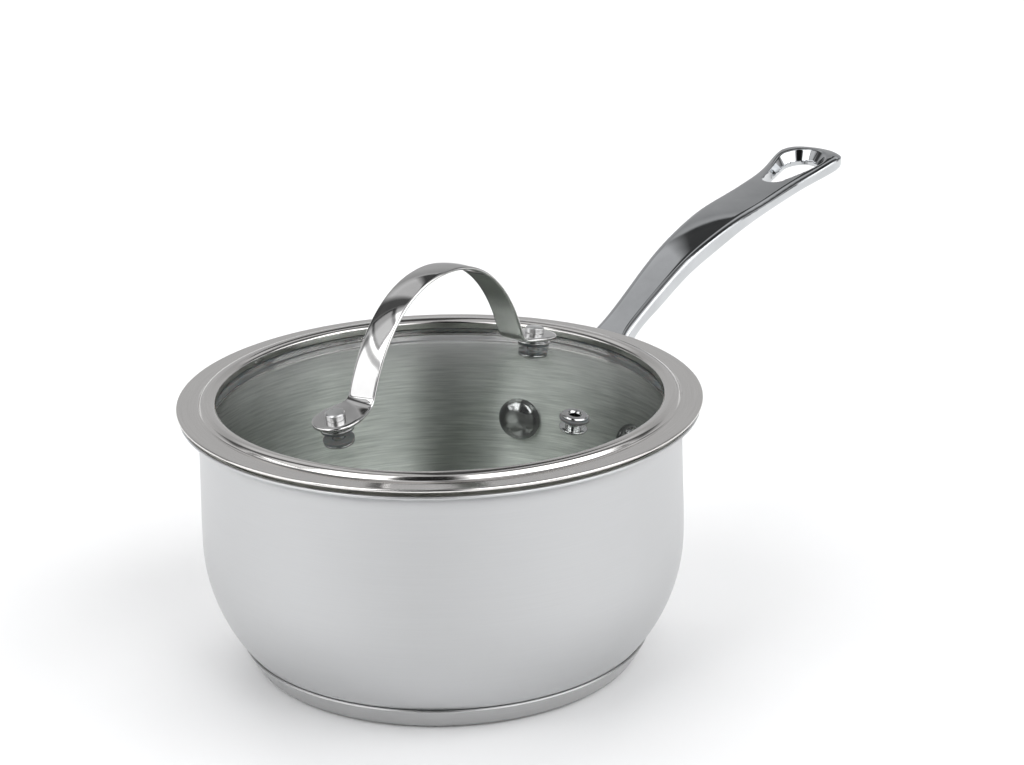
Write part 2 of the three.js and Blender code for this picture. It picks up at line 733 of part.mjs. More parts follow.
function footRivet() {
  const seat = footStandoff + strapThickness + touchGap;
  const tail = underGlass - gasketThickness - washerThickness - 2 * touchGap;
  const crown = 0.35;
  return turned([
    [0, tail - rivetTailHeight],
    [rivetTailRadius * 0.7, tail - rivetTailHeight],
    [rivetTailRadius, tail - rivetTailHeight * 0.5],
    [rivetTailRadius, tail],
    [shankRadius, tail],
    [shankRadius, seat],
    [rivetHeadRadius, seat],
    [rivetHeadRadius, seat + rivetHeadHeight - 0.6],
    [rivetHeadRadius - 0.4, seat + rivetHeadHeight - crown],
    [0, seat + rivetHeadHeight],
  ], smallSides);
}

// Rolled tube with a flange above the glass and a rolled lip below it; steam leaves through its bore.
function ventEyelet() {
  const seat = ventGasketThickness + 2 * touchGap;
  const roll = underGlass - ventWasherThickness - touchGap;
  return turned(closed([
    [ventBore, roll - ventRollThickness],
    [ventTubeRadius + 0.9, roll - ventRollThickness],
    [ventTubeRadius + 1.2, roll],
    [ventTubeRadius, roll],
    [ventTubeRadius, seat],
    [ventFlangeRadius, seat],
    [ventFlangeRadius, seat + ventFlangeThickness * 0.6],
    [ventFlangeRadius - 0.5, seat + ventFlangeThickness],
    [ventBore + 0.6, seat + ventFlangeThickness],
    [ventBore, seat + ventFlangeThickness * 0.4],
  ]), smallSides);
}

function ventGasket() {
  return flatRing(touchGap, ventGasketThickness, ventGasketRadius, ventTubeRadius + touchGap);
}

function ventWasher() {
  return flatRing(underGlass - ventWasherThickness, ventWasherThickness, ventWasherRadius, ventTubeRadius + touchGap);
}

// ---- assembly -----------------------------------------------------------------------------------

function addMesh(parent, name, manifold, finish) {
  const mesh = new THREE.Mesh(geometryOf(manifold), new THREE.MeshStandardMaterial(finishes[finish]));
  mesh.name = name;
  parent.add(mesh);
}

function pan() {
  const group = new THREE.Group();
  addMesh(group, 'pan_body', panBody(), 'satinSteel');
  addMesh(group, 'base_core', baseCore(), 'aluminium');
  addMesh(group, 'base_cap', baseCap(), 'baseSteel');
  addMesh(group, 'pan_handle', panHandle(), 'polishedSteel');
  const [left, right] = handleRivetPlaces();
  addMesh(group, 'handle_rivet_left', handleRivet(left), 'rivetSteel');
  addMesh(group, 'handle_rivet_right', handleRivet(right), 'rivetSteel');
  return group;
}

function lid() {
  const group = new THREE.Group();
  addMesh(group, 'lid_ring', lidRing(), 'polishedSteel');
  addMesh(group, 'lid_edge_seal', lidEdgeSeal(), 'silicone');
  addMesh(group, 'lid_glass', lidGlass(), 'glass');
  addMesh(group, 'lid_handle', lidHandle(), 'polishedSteel');
  for (const [place, azimuth] of Object.entries(footAzimuths)) {
    const foot = domeFrame(footRadius, azimuth);
    addMesh(foot, `foot_gasket_upper_${place}`, footGasketUpper(), 'silicone');
    addMesh(foot, `foot_ferrule_${place}`, footFerrule(), 'polishedSteel');
    addMesh(foot, `foot_gasket_lower_${place}`, footGasketLower(), 'silicone');
    addMesh(foot, `foot_washer_${place}`, footWasher(), 'rivetSteel');
    addMesh(foot, `foot_rivet_${place}`, footRivet(), 'rivetSteel');
    group.add(foot);
  }
  const vent = domeFrame(ventDistance, ventAzimuth);
  addMesh(vent, 'vent_gasket', ventGasket(), 'silicone');
  addMesh(vent, 'vent_eyelet', ventEyelet(), 'rivetSteel');
  addMesh(vent, 'vent_washer', ventWasher(), 'rivetSteel');
  group.add(vent);
  return group;
}

const saucepan = new THREE.Group();
saucepan.add(pan(), lid());

export default saucepan;
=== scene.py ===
"""Saucepan with a domed glass lid: its smooth visible pieces and their finishes, on the frame's bodies."""

import math

import bmesh
import bpy
import numpy as np
from mathutils import Matrix, Vector


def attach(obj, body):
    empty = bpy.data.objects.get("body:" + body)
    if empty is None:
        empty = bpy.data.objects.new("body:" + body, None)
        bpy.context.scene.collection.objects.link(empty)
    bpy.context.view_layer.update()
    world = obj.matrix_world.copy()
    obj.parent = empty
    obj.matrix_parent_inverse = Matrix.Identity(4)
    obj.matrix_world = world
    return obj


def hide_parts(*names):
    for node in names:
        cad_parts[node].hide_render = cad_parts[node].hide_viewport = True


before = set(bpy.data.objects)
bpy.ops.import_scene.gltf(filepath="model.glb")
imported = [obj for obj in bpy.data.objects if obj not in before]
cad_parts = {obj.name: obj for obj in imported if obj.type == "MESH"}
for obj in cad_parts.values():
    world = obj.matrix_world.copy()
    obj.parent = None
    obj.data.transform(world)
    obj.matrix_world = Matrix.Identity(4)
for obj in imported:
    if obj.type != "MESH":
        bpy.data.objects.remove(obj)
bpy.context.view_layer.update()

MM = 0.001
DEGREE = math.pi / 180

# ---- sizes in millimetres, the same as the solids' ----

TOUCH_GAP = 0.3

MOUTH = 80.0
WALL = 0.8
BELLY = 81.4
BELLY_HEIGHT = 43.4
BELLY_ARC_WIDTH = 53.9
BELLY_ARC_DEPTH = 55.2
FLARE_START = 80.5
FLARE_RADIUS = 7.0
FLARE_SWEEP = 78 * DEGREE
LIP_THICKNESS = 1.2
CAP_FLOOR = 0.8
CAP_WALL = 0.6
CORE_THICKNESS = 4.2
CAP_HEIGHT = 8.2
CAP_TAPER = 4.4
FLOOR_BOTTOM = 5.6

WALL_RADIUS = MOUTH + WALL
FLARE_CENTRE = WALL_RADIUS + FLARE_RADIUS
LIP_TOP = FLARE_START + (FLARE_RADIUS + WALL) * math.sin(FLARE_SWEEP)
LIP_CENTRE = FLARE_CENTRE - (FLARE_RADIUS + WALL / 2) * math.cos(FLARE_SWEEP)

RING_SHEET = 0.5
HEM_THICKNESS = 1.1
HEM_OVERHANG = 0.85
HEM_RISE = 1.8
BEAD_RISE = 2.0
BEAD_HALF_WIDTH = 3.2
BEAD_INSET = 2.6
SEAT_GAP = 0.4
LAP_WIDTH = 1.9
SEAL_WALL = 2.2
SEAL_FLOOR = 1.0
GLASS_THICKNESS = 4.0
DOME_RADIUS = 330.0

HEM_BOTTOM = LIP_TOP + HEM_RISE
RING_TOP = HEM_BOTTOM + HEM_THICKNESS
RING_RADIUS = LIP_CENTRE + LIP_THICKNESS / 2 + HEM_OVERHANG
SKIRT_ARC = FLARE_RADIUS + WALL + SEAT_GAP
SKIRT_TOP = 50 * DEGREE
SKIRT_FOOT = 20 * DEGREE
SKIRT_RADIUS = FLARE_CENTRE - SKIRT_ARC * math.cos(SKIRT_TOP)
POCKET_RADIUS = FLARE_CENTRE - (SKIRT_ARC + RING_SHEET) * math.cos(SKIRT_FOOT)
RING_BOTTOM = FLARE_START + SKIRT_ARC * math.sin(SKIRT_FOOT) - 0.3
SEAL_RADIUS = POCKET_RADIUS - TOUCH_GAP
GLASS_RADIUS = SEAL_RADIUS - SEAL_WALL - TOUCH_GAP
RING_INNER = GLASS_RADIUS - BEAD_INSET
BEAD_MIDDLE = RING_INNER + BEAD_HALF_WIDTH
BEAD_TOP = RING_TOP + BEAD_RISE
RING_LAP = GLASS_RADIUS - LAP_WIDTH
GLASS_EDGE_BOTTOM = RING_BOTTOM + RING_SHEET + SEAL_FLOOR + 2 * TOUCH_GAP
DOME_RISE = DOME_RADIUS - math.sqrt(DOME_RADIUS**2 - GLASS_RADIUS**2)
GLASS_TOP = GLASS_EDGE_BOTTOM + GLASS_THICKNESS + DOME_RISE

FOOT_RADIUS = 52.0
FOOT_STANDOFF = 2.8
STRAP_THICKNESS = 1.5
STRAP_HALF_WIDTH = 5.4
PAD_RADIUS = 7.8
ARCH_HEIGHT = 37.2
LEG_RADIUS = 39.0
LEG_HEIGHT = 5.2
LEG_LEAN = 19 * DEGREE
CROWN_REACH = 21.5
SHOULDER_REACH = 16.5
SHANK_HOLE = 1.95
FOOT_DRILL = 2.2
VENT_DRILL = 2.7
VENT_DISTANCE = 55.5
VENT_TURN = -math.pi / 2

HANDLE_REACH = 243.5
HANDLE_TIP_HEIGHT = 124.8
SADDLE_MIDDLE = 54.0


# ---- outlines ----

def arc(radius, height, size, start, end, steps):
    """Points on an arc about (radius, height), from one angle to another."""
    turns = np.linspace(start, end, steps + 1)
    return [(radius + size * math.cos(t), height + size * math.sin(t)) for t in turns]


def quadratic(first, bend, last, t):
    """A point on the curve that leaves first and reaches last, both pointing at bend."""
    return first * (1 - t) ** 2 + bend * 2 * t * (1 - t) + last * t**2


def rounded(corners, loop=False, steps=5):
    """Corners are (radius, height, rounding): each is replaced by an arc that touches both of its sides."""
    count = len(corners)
    points = []
    for index, (x, y, size) in enumerate(corners):
        at = Vector((x, y))
        ends = not loop and index in (0, count - 1)
        if size <= 0 or ends:
            points.append((x, y))
            continue
        before = Vector(corners[index - 1][:2]) - at
        after = Vector(corners[(index + 1) % count][:2]) - at
        half = before.angle(after) / 2
        reach = min(size / math.tan(half), before.length * 0.49, after.length * 0.49)
        start = at + before.normalized() * reach
        end = at + after.normalized() * reach
        for step in range(steps + 1):
            point = quadratic(start, at, end, step / steps)
            points.append((point.x, point.y))
    return points


def dome(radius, drop=0.0):
    """Height of the glass's upper face at a radius, or of the face that lies drop below it."""
    return GLASS_TOP - DOME_RADIUS + math.sqrt((DOME_RADIUS - drop) ** 2 - radius**2)


# ---- meshes ----

def link(name, mesh):
    piece = bpy.data.objects.new(name, mesh)
    bpy.context.scene.collection.objects.link(piece)
    return piece


def mesh_piece(name, points, faces, place=None, sharp=50):
    """A smooth-shaded piece from points in millimetres, with edges over the sharp angle kept crisp."""
    mesh = bpy.data.meshes.new(name)
    mesh.from_pydata((np.asarray(points, float) * MM).tolist(), [], faces)
    if place is not None:
        mesh.transform(place)
    work = bmesh.new()
    work.from_mesh(mesh)
    bmesh.ops.remove_doubles(work, verts=work.verts, dist=2e-6)
    bmesh.ops.recalc_face_normals(work, faces=work.faces)
    work.to_mesh(mesh)
    work.free()
    mesh.shade_smooth()
    mesh.set_sharp_from_angle(angle=sharp * DEGREE)
    return link(name, mesh)


def revolve(name, outline, sides=224, place=None, loop=False, sharp=50):
    """Turns an outline of (radius, height) points about Z. It runs from axis to axis, or is a loop."""
    count = len(outline)
    turns = np.arange(sides) * 2 * math.pi / sides
    rings = [[(r * math.cos(t), r * math.sin(t), z) for t in turns] for r, z in outline]
    points = [point for ring in rings for point in ring]
    faces = []
    for index in range(count if loop else count - 1):
        low = index * sides
        high = ((index + 1) % count) * sides
        for side in range(sides):
            after = (side + 1) % sides
            corners = [low + side, low + after, high + after, high + side]
            if outline[index][0] < 1e-6:
                corners = [low, high + after, high + side]
            elif outline[(index + 1) % count][0] < 1e-6:
                corners = [low + side, low + after, high]
            faces.append(corners)
    return mesh_piece(name, points, faces, place, sharp)


def dome_place(distance, azimuth):
    """A frame on the glass's upper face at a distance from the axis, with Z along the glass's normal."""
    tilt = math.asin(distance / DOME_RADIUS)
    turn = Matrix.Rotation(azimuth, 4, "Z")
    spot = Matrix.Translation((distance * MM, 0, dome(distance) * MM))
    return turn @ spot @ Matrix.Rotation(tilt, 4, "Y")


# ---- materials ----

class Graph:
    """Adds nodes to a node tree."""

    def __init__(self, tree):
        self.tree = tree

    def node(self, kind, **settings):
        made = self.tree.nodes.new(kind)
        for key, value in settings.items():
            setattr(made, key, value)
        return made

    def join(self, source, target):
        self.tree.links.new(source, target)

    def math(self, operation, first, second=None):
        """One sum on numbers or sockets."""
        made = self.node("ShaderNodeMath", operation=operation)
        for socket, value in zip(made.inputs, (first, second)):
            if isinstance(value, bpy.types.NodeSocket):
                self.join(value, socket)
            elif value is not None:
                socket.default_value = value
        return made.outputs[0]

    def stretch(self, source, low, high, new_low, new_high):
        """Carries low..high over to new_low..new_high, held at its ends."""
        made = self.node("ShaderNodeMapRange")
        self.join(source, made.inputs["Value"])
        ends = {"From Min": low, "From Max": high, "To Min": new_low, "To Max": new_high}
        for name, value in ends.items():
            made.inputs[name].default_value = value
        return made.outputs["Result"]

    def noise(self, vector, scale, detail=4.0, rough=0.55):
        made = self.node("ShaderNodeTexNoise")
        self.join(vector, made.inputs["Vector"])
        made.inputs["Scale"].default_value = scale
        made.inputs["Detail"].default_value = detail
        made.inputs["Roughness"].default_value = rough
        return made.outputs["Fac"]

    def tint(self, factor, dark, light):
        made = self.node("ShaderNodeMix", data_type="RGBA")
        self.join(factor, made.inputs["Factor"])
        made.inputs["A"].default_value = (*dark, 1)
        made.inputs["B"].default_value = (*light, 1)
        return made.outputs["Result"]

    def bump(self, height, distance):
        made = self.node("ShaderNodeBump")
        self.join(height, made.inputs["Height"])
        made.inputs["Distance"].default_value = distance
        made.inputs["Strength"].default_value = 1.0
        return made.outputs["Normal"]

    def place(self):
        return self.node("ShaderNodeTexCoord").outputs["Object"]

    def reach(self, x, y):
        """Distance from the vertical axis, never quite nothing."""
        squares = self.math("ADD", self.math("MULTIPLY", x, x), self.math("MULTIPLY", y, y))
        return self.math("MAXIMUM", self.math("SQRT", squares), 1e-4)

    def scaled(self, vector, x, y, z):
        made = self.node("ShaderNodeMapping")
        self.join(vector, made.inputs["Vector"])
        made.inputs["Scale"].default_value = (x, y, z)
        return made.outputs["Vector"]

    def ring_vector(self, around, across):
        """A vector that changes slowly round the axis and fast along the height and the radius."""
        split = self.node("ShaderNodeSeparateXYZ")
        self.join(self.place(), split.inputs[0])
        x, y, z = split.outputs
        radius = self.reach(x, y)
        both = self.node("ShaderNodeCombineXYZ")
        self.join(self.math("MULTIPLY", self.math("DIVIDE", x, radius), around), both.inputs[0])
        self.join(self.math("MULTIPLY", self.math("DIVIDE", y, radius), around), both.inputs[1])
        self.join(self.math("MULTIPLY", self.math("ADD", z, radius), across), both.inputs[2])
        return both.outputs[0]


class Finish(Graph):
    """A node material under construction."""

    def __init__(self, name):
        self.material = bpy.data.materials.new(name)
        self.material.use_nodes = True
        super().__init__(self.material.node_tree)
        self.tree.nodes.clear()
        self.output = self.node("ShaderNodeOutputMaterial")

    def surface(self, **values):
        """The main shader, with a value or a socket for each input named."""
        shader = self.node("ShaderNodeBsdfPrincipled")
        for name, value in values.items():
            socket = shader.inputs[name.replace("_", " ")]
            if isinstance(value, bpy.types.NodeSocket):
                self.join(value, socket)
            else:
                socket.default_value = value
        self.join(shader.outputs[0], self.output.inputs["Surface"])
        return shader


def grey(value, warmth=0.0):
    """A grey colour, redder and less blue as it warms."""
    return (value * (1 + warmth), value, value * (1 - warmth))


def turned_steel(name, dark, light, low, high, around, across, depth, anisotropy=0.0):
    """Metal brushed round the axis: streaks in colour, roughness and relief, with faint cloudy smudges.

    dark and light are the ends of its colour, low and high those of its roughness. around and across are
    how fast the streaks change along and over the brushing, and depth is their relief in millimetres.
    """
    finish = Finish(name)
    streaks = finish.noise(finish.ring_vector(around, across), 1.0, detail=6.0, rough=0.65)
    clouds = finish.noise(finish.place(), 38.0, detail=3.0)
    mixed = finish.math("ADD", finish.math("MULTIPLY", streaks, 0.75), finish.math("MULTIPLY", clouds, 0.25))
    shader = finish.surface(
        Metallic=1.0,
        Base_Color=finish.tint(finish.stretch(mixed, 0.3, 0.7, 0.0, 1.0), dark, light),
        Roughness=finish.stretch(mixed, 0.3, 0.7, low, high),
        Normal=finish.bump(streaks, depth * MM),
        Anisotropic=anisotropy,
        Anisotropic_Rotation=0.25,
    )
    if anisotropy:
        tangent = finish.node("ShaderNodeTangent", direction_type="RADIAL", axis="Z")
        finish.join(tangent.outputs[0], shader.inputs["Tangent"])
    return finish.material


def polished_steel(name, dark, light, low, high, ripple=0.004, scratch=(60.0, 900.0, 900.0)):
    """Mirror steel: slight waviness from polishing, hairline wipes in its gloss, faint cloudy smudges.

    dark and light are the ends of its colour, and low and high those of its roughness.
    """
    finish = Finish(name)
    spot = finish.place()
    waves = finish.noise(spot, 90.0, detail=2.0)
    clouds = finish.noise(spot, 55.0, detail=5.0)
    wipes = finish.noise(finish.scaled(spot, *scratch), 1.0, detail=5.0, rough=0.7)
    mixed = finish.math("ADD", finish.math("MULTIPLY", wipes, 0.5), finish.math("MULTIPLY", clouds, 0.5))
    relief = finish.math("ADD", waves, finish.math("MULTIPLY", wipes, 0.12))
    finish.surface(
        Metallic=1.0,
        Base_Color=finish.tint(finish.stretch(clouds, 0.35, 0.65, 0.0, 1.0), dark, light),
        Roughness=finish.stretch(mixed, 0.35, 0.65, low, high),
        Normal=finish.bump(relief, ripple * MM),
    )
    return finish.material


def silicone_finish():
    """Dark grey rubber with a fine grain."""
    finish = Finish("silicone")
    spot = finish.place()
    grain = finish.noise(spot, 1400.0, detail=3.0)
    clouds = finish.noise(spot, 120.0, detail=3.0)
    finish.surface(
        Base_Color=finish.tint(clouds, (0.10, 0.105, 0.105), (0.17, 0.175, 0.175)),
        Roughness=finish.stretch(grain, 0.3, 0.7, 0.38, 0.62),
        Normal=finish.bump(grain, 0.02 * MM),
        Subsurface_Weight=0.25,
        Subsurface_Scale=0.002,
    )
    return finish.material


def glass_finish():
    """Clear glass, faintly green, with wipe marks in its gloss. It lets the lamps' light through."""
    finish = Finish("lid_glass")
    spot = finish.place()
    wipes = finish.noise(finish.scaled(spot, 30.0, 90.0, 90.0), 1.0, detail=5.0, rough=0.6)
    waves = finish.noise(spot, 22.0, detail=1.0)
    shader = finish.surface(
        Base_Color=(0.97, 0.985, 0.975, 1.0),
        Roughness=finish.stretch(wipes, 0.45, 0.75, 0.0, 0.03),
        Normal=finish.bump(waves, 0.006 * MM),
        IOR=1.12,
        Transmission_Weight=1.0,
    )
    clear = finish.node("ShaderNodeBsdfTransparent")
    clear.inputs["Color"].default_value = (0.93, 0.96, 0.945, 1.0)
    path = finish.node("ShaderNodeLightPath")
    mix = finish.node("ShaderNodeMixShader")
    finish.join(path.outputs["Is Shadow Ray"], mix.inputs[0])
    finish.join(shader.outputs[0], mix.inputs[1])
    finish.join(clear.outputs[0], mix.inputs[2])
    finish.join(mix.outputs[0], finish.output.inputs["Surface"])
    return finish.material


def floor_finish():
    """Plain pale paper."""
    finish = Finish("studio_floor")
    grain = finish.noise(finish.place(), 14.0, detail=3.0)
    finish.surface(
        Base_Color=finish.tint(grain, grey(0.86), grey(0.88)),
        Roughness=finish.stretch(grain, 0.3, 0.7, 0.7, 0.85),
    )
    return finish.material


EVEN_SCRATCH = (500.0, 500.0, 500.0)

OUTSIDE = turned_steel(
    "satin_outside", grey(0.565, -0.008), grey(0.595, -0.008), 0.34, 0.4,
    around=3.0, across=2600.0, depth=0.0008,
)
INSIDE = turned_steel(
    "brushed_inside", (0.40, 0.42, 0.40), (0.82, 0.84, 0.80), 0.34, 0.42,
    around=5.0, across=1300.0, depth=0.002, anisotropy=1.0,
)
BASE_STEEL = turned_steel(
    "base_cap_steel", grey(0.48), grey(0.56), 0.28, 0.4, around=4.0, across=3400.0, depth=0.003
)
RING_STEEL = turned_steel(
    "ring_steel", grey(0.74, 0.025), grey(0.82, 0.025), 0.08, 0.14, around=4.0, across=2600.0, depth=0.001
)
ALUMINIUM = turned_steel(
    "aluminium_core", grey(0.62), grey(0.72), 0.4, 0.55, around=4.0, across=1500.0, depth=0.004
)
HANDLE_STEEL = polished_steel("handle_steel", grey(0.53, -0.02), grey(0.6, -0.02), 0.03, 0.08)
STRAP_STEEL = polished_steel("strap_steel", grey(0.62, 0.01), grey(0.7, 0.01), 0.04, 0.1)
RIVET_STEEL = polished_steel("rivet_steel", grey(0.64), grey(0.74), 0.24, 0.36, scratch=EVEN_SCRATCH)
FITTING_STEEL = polished_steel("fitting_steel", grey(0.56), grey(0.68), 0.08, 0.16, scratch=EVEN_SCRATCH)
# The domed rivet steel is darker than real steel: its colour is painted shade for the dark pot interior that
# the domed heads reflect.
SHADE_DARKENED_DOME_STEEL = polished_steel("mirror_rivet_steel_painted_shade", grey(0.34), grey(0.4), 0.02, 0.06, scratch=EVEN_SCRATCH)
SILICONE = silicone_finish()
GLASS = glass_finish()
FLOOR = floor_finish()


def dress(piece, body, node, slot_name, *materials):
    """Gives a piece its materials and its body, and hides the solid it stands for."""
    for material in materials:
        piece.data.materials.append(material)
    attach(piece, body)
    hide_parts(node)


# ---- pan ----

SEAM_ANGLE = math.asin((BELLY_HEIGHT - CAP_HEIGHT) / BELLY_ARC_DEPTH)
SEAM_RADIUS = BELLY - BELLY_ARC_WIDTH + BELLY_ARC_WIDTH * math.cos(SEAM_ANGLE)
SEAM_TANGENT = Vector((
    BELLY_ARC_WIDTH * math.sin(SEAM_ANGLE),
    BELLY_ARC_DEPTH * math.cos(SEAM_ANGLE),
)).normalized()
SEAM_NORMAL = Vector((SEAM_TANGENT.y, -SEAM_TANGENT.x))
SEAM_GAP = 0.15
LIP_START = -100 * DEGREE
LIP_END = 112 * DEGREE
FLOOR_SHARES = (0, 0.2, 0.4, 0.6, 0.8)
FLOOR_BEND_STEPS = 8
BELLY_STEPS = 40
WALL_STEPS = 14
FLARE_STEPS = 22
INSIDE_MARGIN = 5.0


def wall_radius(height):
    """Outside radius of the pot's side, between the belly and the flare."""
    along = np.clip((height - BELLY_HEIGHT) / (FLARE_START - BELLY_HEIGHT), 0, 1)
    return BELLY + (WALL_RADIUS - BELLY) * along


def belly_outline(inset):
    """The pot's skin from the axis to the start of the flare, moved inwards by inset."""
    floor = FLOOR_BOTTOM + inset
    start = Vector((SEAM_RADIUS, CAP_HEIGHT)) - SEAM_NORMAL * inset
    reach = (start.y - floor) / SEAM_TANGENT.y
    corner = start - SEAM_TANGENT * reach
    flat_end = Vector((corner.x - reach, floor))
    outline = [(flat_end.x * share, floor) for share in FLOOR_SHARES]
    for step in range(FLOOR_BEND_STEPS + 1):
        point = quadratic(flat_end, corner, start, step / FLOOR_BEND_STEPS)
        outline.append((point.x, point.y))
    for step in range(1, BELLY_STEPS + 1):
        angle = SEAM_ANGLE * (1 - step / BELLY_STEPS)
        radius = BELLY - BELLY_ARC_WIDTH + (BELLY_ARC_WIDTH - inset) * math.cos(angle)
        outline.append((radius, BELLY_HEIGHT - (BELLY_ARC_DEPTH - inset) * math.sin(angle)))
    for height in np.linspace(BELLY_HEIGHT, FLARE_START, WALL_STEPS)[1:]:
        along = (height - BELLY_HEIGHT) / (FLARE_START - BELLY_HEIGHT)
        ease = 0.5 - 0.5 * math.cos(math.pi * along)
        outline.append((BELLY - inset + (WALL_RADIUS - BELLY) * ease, height))
    return outline


def flare(size):
    """The bend from the wall out to the lip, at a distance from its centre."""
    return arc(FLARE_CENTRE, FLARE_START, size, math.pi, math.pi - FLARE_SWEEP, FLARE_STEPS)[1:-1]


def pan_body():
    """One skin, satin outside and brushed inside, with a rolled lip."""
    lip_height = FLARE_START + (FLARE_RADIUS + WALL / 2) * math.sin(FLARE_SWEEP)
    lip = arc(LIP_CENTRE, lip_height, LIP_THICKNESS / 2, LIP_START, LIP_END, 14)
    outside = [*belly_outline(0), *flare(FLARE_RADIUS), *lip]
    inside = [*belly_outline(WALL), *flare(FLARE_RADIUS + WALL)][::-1]
    piece = revolve("pan_body_skin", [*outside, *inside])
    dress(piece, "pan", "pan_body", "satin_steel", OUTSIDE, INSIDE)
    for face in piece.data.polygons:
        facing = face.normal.xy.dot(face.center.xy)
        upward = face.normal.z > 0.2
        if facing < 0 or (upward and face.center.xy.length < (MOUTH + INSIDE_MARGIN) * MM):
            face.material_index = 1


def base_cap():
    """A shallow dish over the disc, with a fine gap between its top edge and the pot."""
    seam = Vector((SEAM_RADIUS, CAP_HEIGHT))
    inner = seam + SEAM_NORMAL * SEAM_GAP
    outer = seam + SEAM_NORMAL * (TOUCH_GAP + CAP_WALL)
    foot = SEAM_RADIUS - CAP_TAPER + CAP_WALL
    corners = [
        (0, 0, 0),
        (foot * 0.5, 0, 0.1),
        (foot, 0, 4.2),
        (outer.x, outer.y, 0.35),
        (inner.x, inner.y, 0.12),
        (foot - CAP_WALL, CAP_FLOOR, 3.5),
        (foot * 0.5, CAP_FLOOR, 0.1),
        (0, CAP_FLOOR, 0),
    ]
    piece = revolve("base_cap_skin", rounded(corners, steps=9))
    dress(piece, "pan", "base_cap", "base_steel", BASE_STEEL)


def base_core():
    """The disc that spreads the heat, hidden in the cap."""
    radius = SEAM_RADIUS - CAP_TAPER - CAP_WALL - 2 * TOUCH_GAP
    low = CAP_FLOOR + TOUCH_GAP
    high = low + CORE_THICKNESS
    corners = [(0, low, 0), (radius, low, 0.8), (radius, high, 0.8), (0, high, 0)]
    piece = revolve("base_core_disc", rounded(corners), sides=128)
    dress(piece, "pan", "base_core", "aluminium_core", ALUMINIUM)


# ---- long handle: a smooth solid worked out from distances ----

class Line:
    """A natural cubic spline through a few (place, value) points, with its slope."""

    def __init__(self, points):
        self.x, self.y = np.array(points, float).T
        count = len(points)
        gaps = np.diff(self.x)
        climbs = np.diff(self.y) / gaps
        system = np.eye(count)
        right = np.zeros(count)
        for i in range(1, count - 1):
            system[i, i - 1 : i + 2] = gaps[i - 1], 2 * (gaps[i - 1] + gaps[i]), gaps[i]
            right[i] = 6 * (climbs[i] - climbs[i - 1])
        self.bend = np.linalg.solve(system, right)

    def __call__(self, x):
        x = np.clip(x, self.x[0], self.x[-1])
        i = np.clip(np.searchsorted(self.x, x) - 1, 0, len(self.x) - 2)
        gap = self.x[i + 1] - self.x[i]
        a = (self.x[i + 1] - x) / gap
        b = 1 - a
        curve = (a**3 - a) * self.bend[i] + (b**3 - b) * self.bend[i + 1]
        return a * self.y[i] + b * self.y[i + 1] + curve * gap**2 / 6

    def slope(self, x, reach=0.05):
        return (self(x + reach) - self(x - reach)) / (2 * reach)

    def steepness(self, x):
        """Length along the line for each millimetre of x."""
        return np.sqrt(1 + self.slope(x) ** 2)


def smooth_max(a, b, size):
    """The larger of two distances, with the crease between them rounded over about size."""
    blend = np.maximum(size - np.abs(a - b), 0) / size
    return np.maximum(a, b) + blend**2 * size / 4


def smooth_min(a, b, size):
    return -smooth_max(-a, -b, size)


# The height of the handle's top, that of its underside, and its half width, each against x.
HANDLE_TOP = Line([
    (WALL_RADIUS - 3, 62), (WALL_RADIUS + 4.5, 75.5), (WALL_RADIUS + 12, 83.5), (104, 90), (118.4, 97.2),
    (136, 105.4), (153.5, 111.1), (171, 114.9), (188.6, 117), (206, 119.3), (223.6, 122.2),
    (HANDLE_REACH - 5, HANDLE_TIP_HEIGHT - 0.1), (HANDLE_REACH, HANDLE_TIP_HEIGHT - 0.6),
])
HANDLE_BELOW = Line([
    (WALL_RADIUS - 3, 36), (WALL_RADIUS + 3.4, 46.5), (WALL_RADIUS + 7.5, 61), (WALL_RADIUS + 14, 73.6),
    (104, 82.5), (118.4, 89.7), (136, 97.9), (153.5, 103.6), (171, 108.3), (188.6, 111.3), (206, 113.6),
    (223.6, 116.5), (HANDLE_REACH - 5, 118.9), (HANDLE_REACH, 119.4),
])
HANDLE_WIDTH = Line([
    (WALL_RADIUS - 3, 18), (WALL_RADIUS + 3, 15), (WALL_RADIUS + 12, 9.4), (106, 6.9), (123, 7.4),
    (149, 9), (175, 10.2), (200, 10.1), (214, 10.7), (225, 12.4), (234, 13.5), (236, 13.5),
])
NARROWEST = 4.0
END_START = HANDLE_REACH - 9.5
END_HALF_WIDTH = 13.5
END_POWER = 2.25
END_SCALE = 10.0

TOP_CROWN = 0.55
CHAMFER_OUT = 0.55
CHAMFER_UP = 0.84
CHAMFER_DEPTH = 1.25
UNDER_LEAN = 0.707
UNDER_DEPTH = 0.6
TOP_ROUNDING = 0.5
BELOW_ROUNDING = 0.9
UNDER_ROUNDING = 0.8
HOLE_ROUNDING = 0.7

HOLE_FRONT = 7.4
HOLE_BACK = 4.0
HOLE_LENGTH = 19.0
HOLE_FRONT_PLACE = HANDLE_REACH - 8.5 - HOLE_FRONT
HOLE_MARGIN = 0.5
HOLE_STEEPNESS = 0.75
FUNNEL_MARGIN = 2.2
FUNNEL_LEAN = 0.75
FUNNEL_DEPTH = 4.1

SADDLE_GAP = 0.2
SADDLE_HALF = 1.65
SADDLE_ARC_RADIUS = 83.0
SADDLE_STRAIGHT = 22.5
SADDLE_PAD_RADIUS = 10.2
SADDLE_ROUNDING = 2.2
WALL_ROUNDING = 0.3
ROOT_BLEND = 7.0


